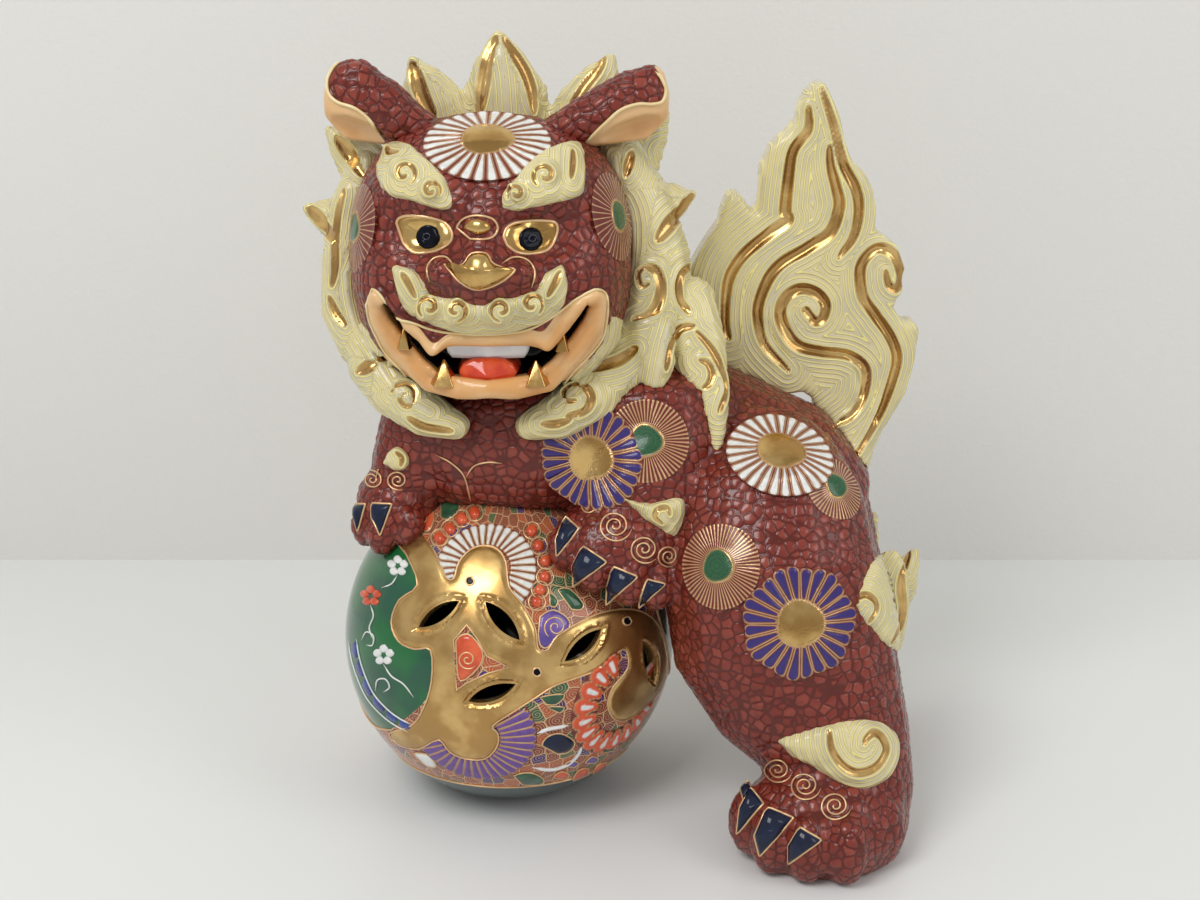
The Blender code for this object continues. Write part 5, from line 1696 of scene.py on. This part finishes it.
# Eyelets on the ball: a piped gold ring round each, and a flat black disc of painted shade where its hole is
# seen
STUDS = [(470, 581), (537, 672), (627, 621)]
BEAD_SIZE, BEAD_RING, HOLE_SHADE_SIZE, STUD_RING = 5.8, 8.6, 3.4, 4.2
BLOSSOMS = [((371, 596), "orange"), ((398, 566), "white"), ((384, 655), "white")]
BLOSSOM_REACH, PETAL_SIZE = 6.5, 4.2
SPRIGS = [
    [(371, 605), (374, 616), (370, 628), (374, 640)],
    [(398, 575), (392, 584), (382, 588)],
    [(384, 664), (392, 676), (404, 684), (414, 697)],
]
WAVE_RUN = np.array([(353, 640), (356, 658), (362, 677), (371, 696), (384, 711), (397, 721), (410, 728)])
WAVE_HALF_WIDTH, WAVE_GAP, WAVE_EDGE = 2.4, 0.1, 1.7
WAVE_LINES = [
    [(362, 640), (367, 632), (374, 636), (373, 645), (367, 645)],
    [(376, 690), (378, 680), (386, 679), (390, 687), (384, 692)],
]


def sheet_faces(rows, columns):
    """Faces of a thin closed plate: a grid of top points, then the same grid underneath."""
    under = rows * columns
    grid = np.arange(under).reshape(rows, columns)
    corners = (grid[:-1, :-1], grid[:-1, 1:], grid[1:, 1:], grid[1:, :-1])
    faces = []
    for a, b, c, d in zip(*(corner.ravel().tolist() for corner in corners)):
        faces += [(a, b, c, d), (under + a, under + d, under + c, under + b)]
    rim = [*grid[0], *grid[1:, -1], *grid[-1, -2::-1], *grid[-2:0:-1, 0]]
    return faces + [(a, under + a, under + b, b) for a, b in zip(rim, rim[1:] + rim[:1])]


FAN_ROWS, FAN_SPOKES = 26, 10
FAN_EDGE, FAN_SUNK, FAN_THICK, FAN_REACH = 0.1, 1.5, 0.9, 85.0


def fan(name, place, radius, petals, colour, foot, start, sweep, lift=0.5, **petal_plan):
    """Part of a ring of petals on the ball, from the angle `start` round by `sweep` degrees, open in the
    middle. It sinks out of sight under the ribbon."""
    middle, _ = touch(ball_tree, place)
    facing = (middle - BALL_MIDDLE) / np.linalg.norm(middle - BALL_MIDDLE)
    level, upwards = flower_axes(facing)
    rows, columns = FAN_ROWS, int(petals * FAN_SPOKES * sweep / 360)
    turn = np.tile(np.radians(start + np.linspace(0, sweep, columns)), rows)
    far = np.repeat(np.linspace(foot, radius, rows), columns)
    flat = middle + np.outer(far * np.cos(turn), level) + np.outer(far * np.sin(turn), upwards)
    paint, gilt, height = petals_at(turn, far, radius, petals, colour, foot, **petal_plan)
    height = lift + height
    height[:columns] = height[-columns:] = FAN_EDGE
    out = (flat - BALL_MIDDLE) / np.linalg.norm(flat - BALL_MIDDLE, axis=1)[:, None]
    height = np.where(ribbon_at(BALL_MIDDLE + out * FAN_REACH) > -0.3, -FAN_SUNK, height)
    top, normals = draped(ball_tree, flat, facing, height)
    under = top - normals * (np.maximum(height, 0) + FAN_THICK)[:, None]
    obj = shaped(name, np.vstack((top, under)), sheet_faces(rows, columns), enamel)
    paint_marks(obj, np.vstack((paint, paint)), np.hstack((gilt, gilt)))
    return obj


def twin_behind(obj):
    """Repeats an ornament on the far side of the ball."""
    twin = obj.copy()
    twin.data = obj.data.copy()
    twin.name = twin.data.name = obj.name + "_behind"
    bpy.context.scene.collection.objects.link(twin)
    put_spots(twin, half_turned(spots(twin)))
    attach(twin, "root")


for name, plan in BALL_FANS.items():
    twin_behind(fan(name, **plan))

orange_enamel = plain_glaze("orange_enamel", (0.55, 0.065, 0.02), (0.74, 0.13, 0.05))
violet_enamel = plain_glaze("violet_enamel", (0.10, 0.06, 0.27), (0.17, 0.10, 0.36))
green_enamel = plain_glaze("green_enamel", (0.02, 0.07, 0.035), (0.04, 0.13, 0.06))
white_enamel = plain_glaze("white_enamel", (0.72, 0.73, 0.71), (0.82, 0.82, 0.80))
wave_blue = plain_glaze("wave_blue", (0.012, 0.03, 0.17), (0.03, 0.07, 0.30))
blossom_petals = {"orange": [], "white": []}
for (x, y), tone in BLOSSOMS:
    for angle in np.radians(range(90, 450, 72)):
        petal = (x + BLOSSOM_REACH * math.cos(angle), y - BLOSSOM_REACH * math.sin(angle))
        blossom_petals[tone].append(circle(petal, PETAL_SIZE, 10))
sides = np.gradient(WAVE_RUN, axis=0)[:, ::-1] * (1, -1)
sides *= WAVE_HALF_WIDTH / np.linalg.norm(sides, axis=1)[:, None]
waves = []
for a, b, aside, beside in zip(WAVE_RUN, WAVE_RUN[1:], sides, sides[1:]):
    start, end = a + (b - a) * WAVE_GAP, b - (b - a) * WAVE_GAP
    waves.append([start + aside, end + beside, end - beside, start - aside])
wave_edges = [WAVE_RUN + sides * WAVE_EDGE, WAVE_RUN - sides * WAVE_EDGE]
beads = [circle(place, BEAD_SIZE, 12) for place in ORANGE_BEADS]
# Flat black discs in the eyelets stand for the shade in their holes: painted shade, not holes.
hole_shades = [circle(place, HOLE_SHADE_SIZE, 10) for place in STUDS]
# Name, outlines, paint, rise, steps between the outline's places, and whether gold is piped round it
PATCHES = [
    ("ball_orange_patches", ORANGE_PATCHES, orange_enamel, 0.9, 3, True),
    ("ball_orange_beads", beads, orange_enamel, 2.0, 1, False),
    ("ball_violet_patches", VIOLET_PATCHES, violet_enamel, 0.9, 3, True),
    ("ball_leaves", GREEN_LEAVES, green_enamel, 0.8, 3, True),
    ("ball_navy_patch", NAVY_PATCHES, claw_paint, 1.2, 3, True),
    ("ball_white_patch", WHITE_PATCHES, white_enamel, 1.0, 3, True),
    ("orange_blossom", blossom_petals["orange"], orange_enamel, 0.8, 1, False),
    ("white_blossoms", blossom_petals["white"], white_enamel, 0.8, 1, False),
    ("wave_band", waves, wave_blue, 0.5, 3, False),
    ("stud_hole_painted_shades", hole_shades, black_glaze, 0.1, 1, False),
]
gold_rims = []
for name, outlines, paint, rise, steps, rimmed in PATCHES:
    patch, rims = inlay(name, ball_tree, outlines, rise, paint, steps=steps, rings=5)
    twin_behind(patch)
    gold_rims += rims if rimmed else []
gold_rims += [over(ball_tree, circle(place, BEAD_RING, 16), lift=0.3, steps=1)[:-1] for place in ORANGE_BEADS]
gold_rims += [over(ball_tree, circle(place, STUD_RING, 12), lift=0.2, steps=2)[:-2] for place in STUDS]


def lifted(line, height):
    """A line on the ball, raised by a height."""
    return line + (line - BALL_MIDDLE) / BALL_REACH * height


RIBBON_LINE_LIFT, PANEL_LINE_LIFT = 0.55, 0.3
gold_rims += [lifted(edge, RIBBON_LINE_LIFT) for edge in (ribbon_edge, on_globe(RIBBON_WINDOW))]
panel_turn = curve_through(np.vstack((panel_side, on_globe(PANEL_RIGHT[:1]))), 6) - BALL_MIDDLE
panel_turn *= BALL_REACH / np.linalg.norm(panel_turn, axis=1)[:, None]
panel_rim = lifted(np.vstack((panel_right, panel_turn + BALL_MIDDLE)), PANEL_LINE_LIFT)
foot_ring = np.array([globe(azimuth, FOOT_ELEVATION, 0.2) for azimuth in range(0, 360, 3)])
curls = [over(ball_tree, spiral(*curl), lift=1.0, steps=2) for curl in PATCH_SPIRALS]
arcs = [over(ball_tree, run, lift=0.4) for run in WHITE_ARCS]
whites = [over(ball_tree, run, lift=0.35) for run in SPRIGS + WAVE_LINES + wave_edges]
# Name, lines, radius, paint, slot, and whether each is closed. The line at the foot already runs all round.
BALL_LINES = [
    ("ball_gold_lines", gold_rims, 0.42, line_gold, "gold_lustre", True),
    ("panel_edge", [panel_rim], 0.45, line_gold, "gold_lustre", True),
    ("foot_line", [foot_ring], 0.5, line_gold, "gold_lustre", True),
    ("ball_gold_spirals", curls, 0.4, line_gold, "gold_lustre", False),
    ("ball_white_arcs", arcs, 0.95, white_enamel, "ball_glaze", False),
    ("panel_white_lines", whites, 0.42, white_enamel, "ball_glaze", False),
]
for name, lines, radius, paint, slot, closed in BALL_LINES:
    line = piped(name, lines, radius, paint, slot, closed)
    if name != "foot_line":
        twin_behind(line)

# The table top, the papered wall behind it and the light: one wide soft light from the upper left and
# a weaker one. The wall is left out when it is looked at from behind.

bpy.ops.mesh.primitive_plane_add(size=6.0, location=(0, 0, 0))
floor = bpy.context.object
floor.name = "floor"
floor.select_set(False)
table_top, _, shader = glaze("pale_table", roughness=0.35)
shader.inputs["Base Color"].default_value = (0.80, 0.81, 0.80, 1)
floor.data.materials.append(table_top)

WALL_BEHIND = 0.335
bpy.ops.mesh.primitive_plane_add(size=4.0, location=(0, WALL_BEHIND, 2.0), rotation=(math.pi / 2, 0, 0))
wall = bpy.context.object
wall.name = "wall"
wall.select_set(False)
wall_paper, net, shader = glaze("pale_wall_paper", roughness=0.9)
roughen(net, shader, clouds(net, object_place(net), 280.0, 3.0), strength=0.5, rise=0.6)
shader.inputs["Base Color"].default_value = (0.76, 0.75, 0.72, 1)
seen_from_behind = node(net, "ShaderNodeNewGeometry").outputs["Backfacing"]
clear = node(net, "ShaderNodeBsdfTransparent").outputs[0]
paper = node(net, "ShaderNodeMixShader", {0: seen_from_behind, 1: shader.outputs[0], 2: clear})
net.links.new(paper.outputs[0], net.nodes["Material Output"].inputs["Surface"])
wall.data.materials.append(wall_paper)

world = bpy.data.worlds.new("studio")
bpy.context.scene.world = world
world.use_nodes = True
sky = world.node_tree.nodes["Background"].inputs
sky["Color"].default_value = (0.86, 0.86, 0.85, 1)
sky["Strength"].default_value = 0.62
AIM = Vector((0, 0, 0.18))
# Place, size and power of each
LAMPS = {
    "window_light": ((-0.7, -1.0, 1.5), 0.8, 15.0),
    "fill_light": ((1.2, -0.8, 1.0), 0.8, 5.0),
}
for name, (place, size, power) in LAMPS.items():
    lamp = bpy.data.lights.new(name, "AREA")
    lamp.energy = power
    lamp.size = size
    shining = bpy.data.objects.new(name, lamp)
    shining.location = place
    shining.rotation_euler = (AIM - Vector(place)).to_track_quat("-Z", "Y").to_euler()
    bpy.context.scene.collection.objects.link(shining)
bpy.context.scene.view_settings.view_transform = "Standard"
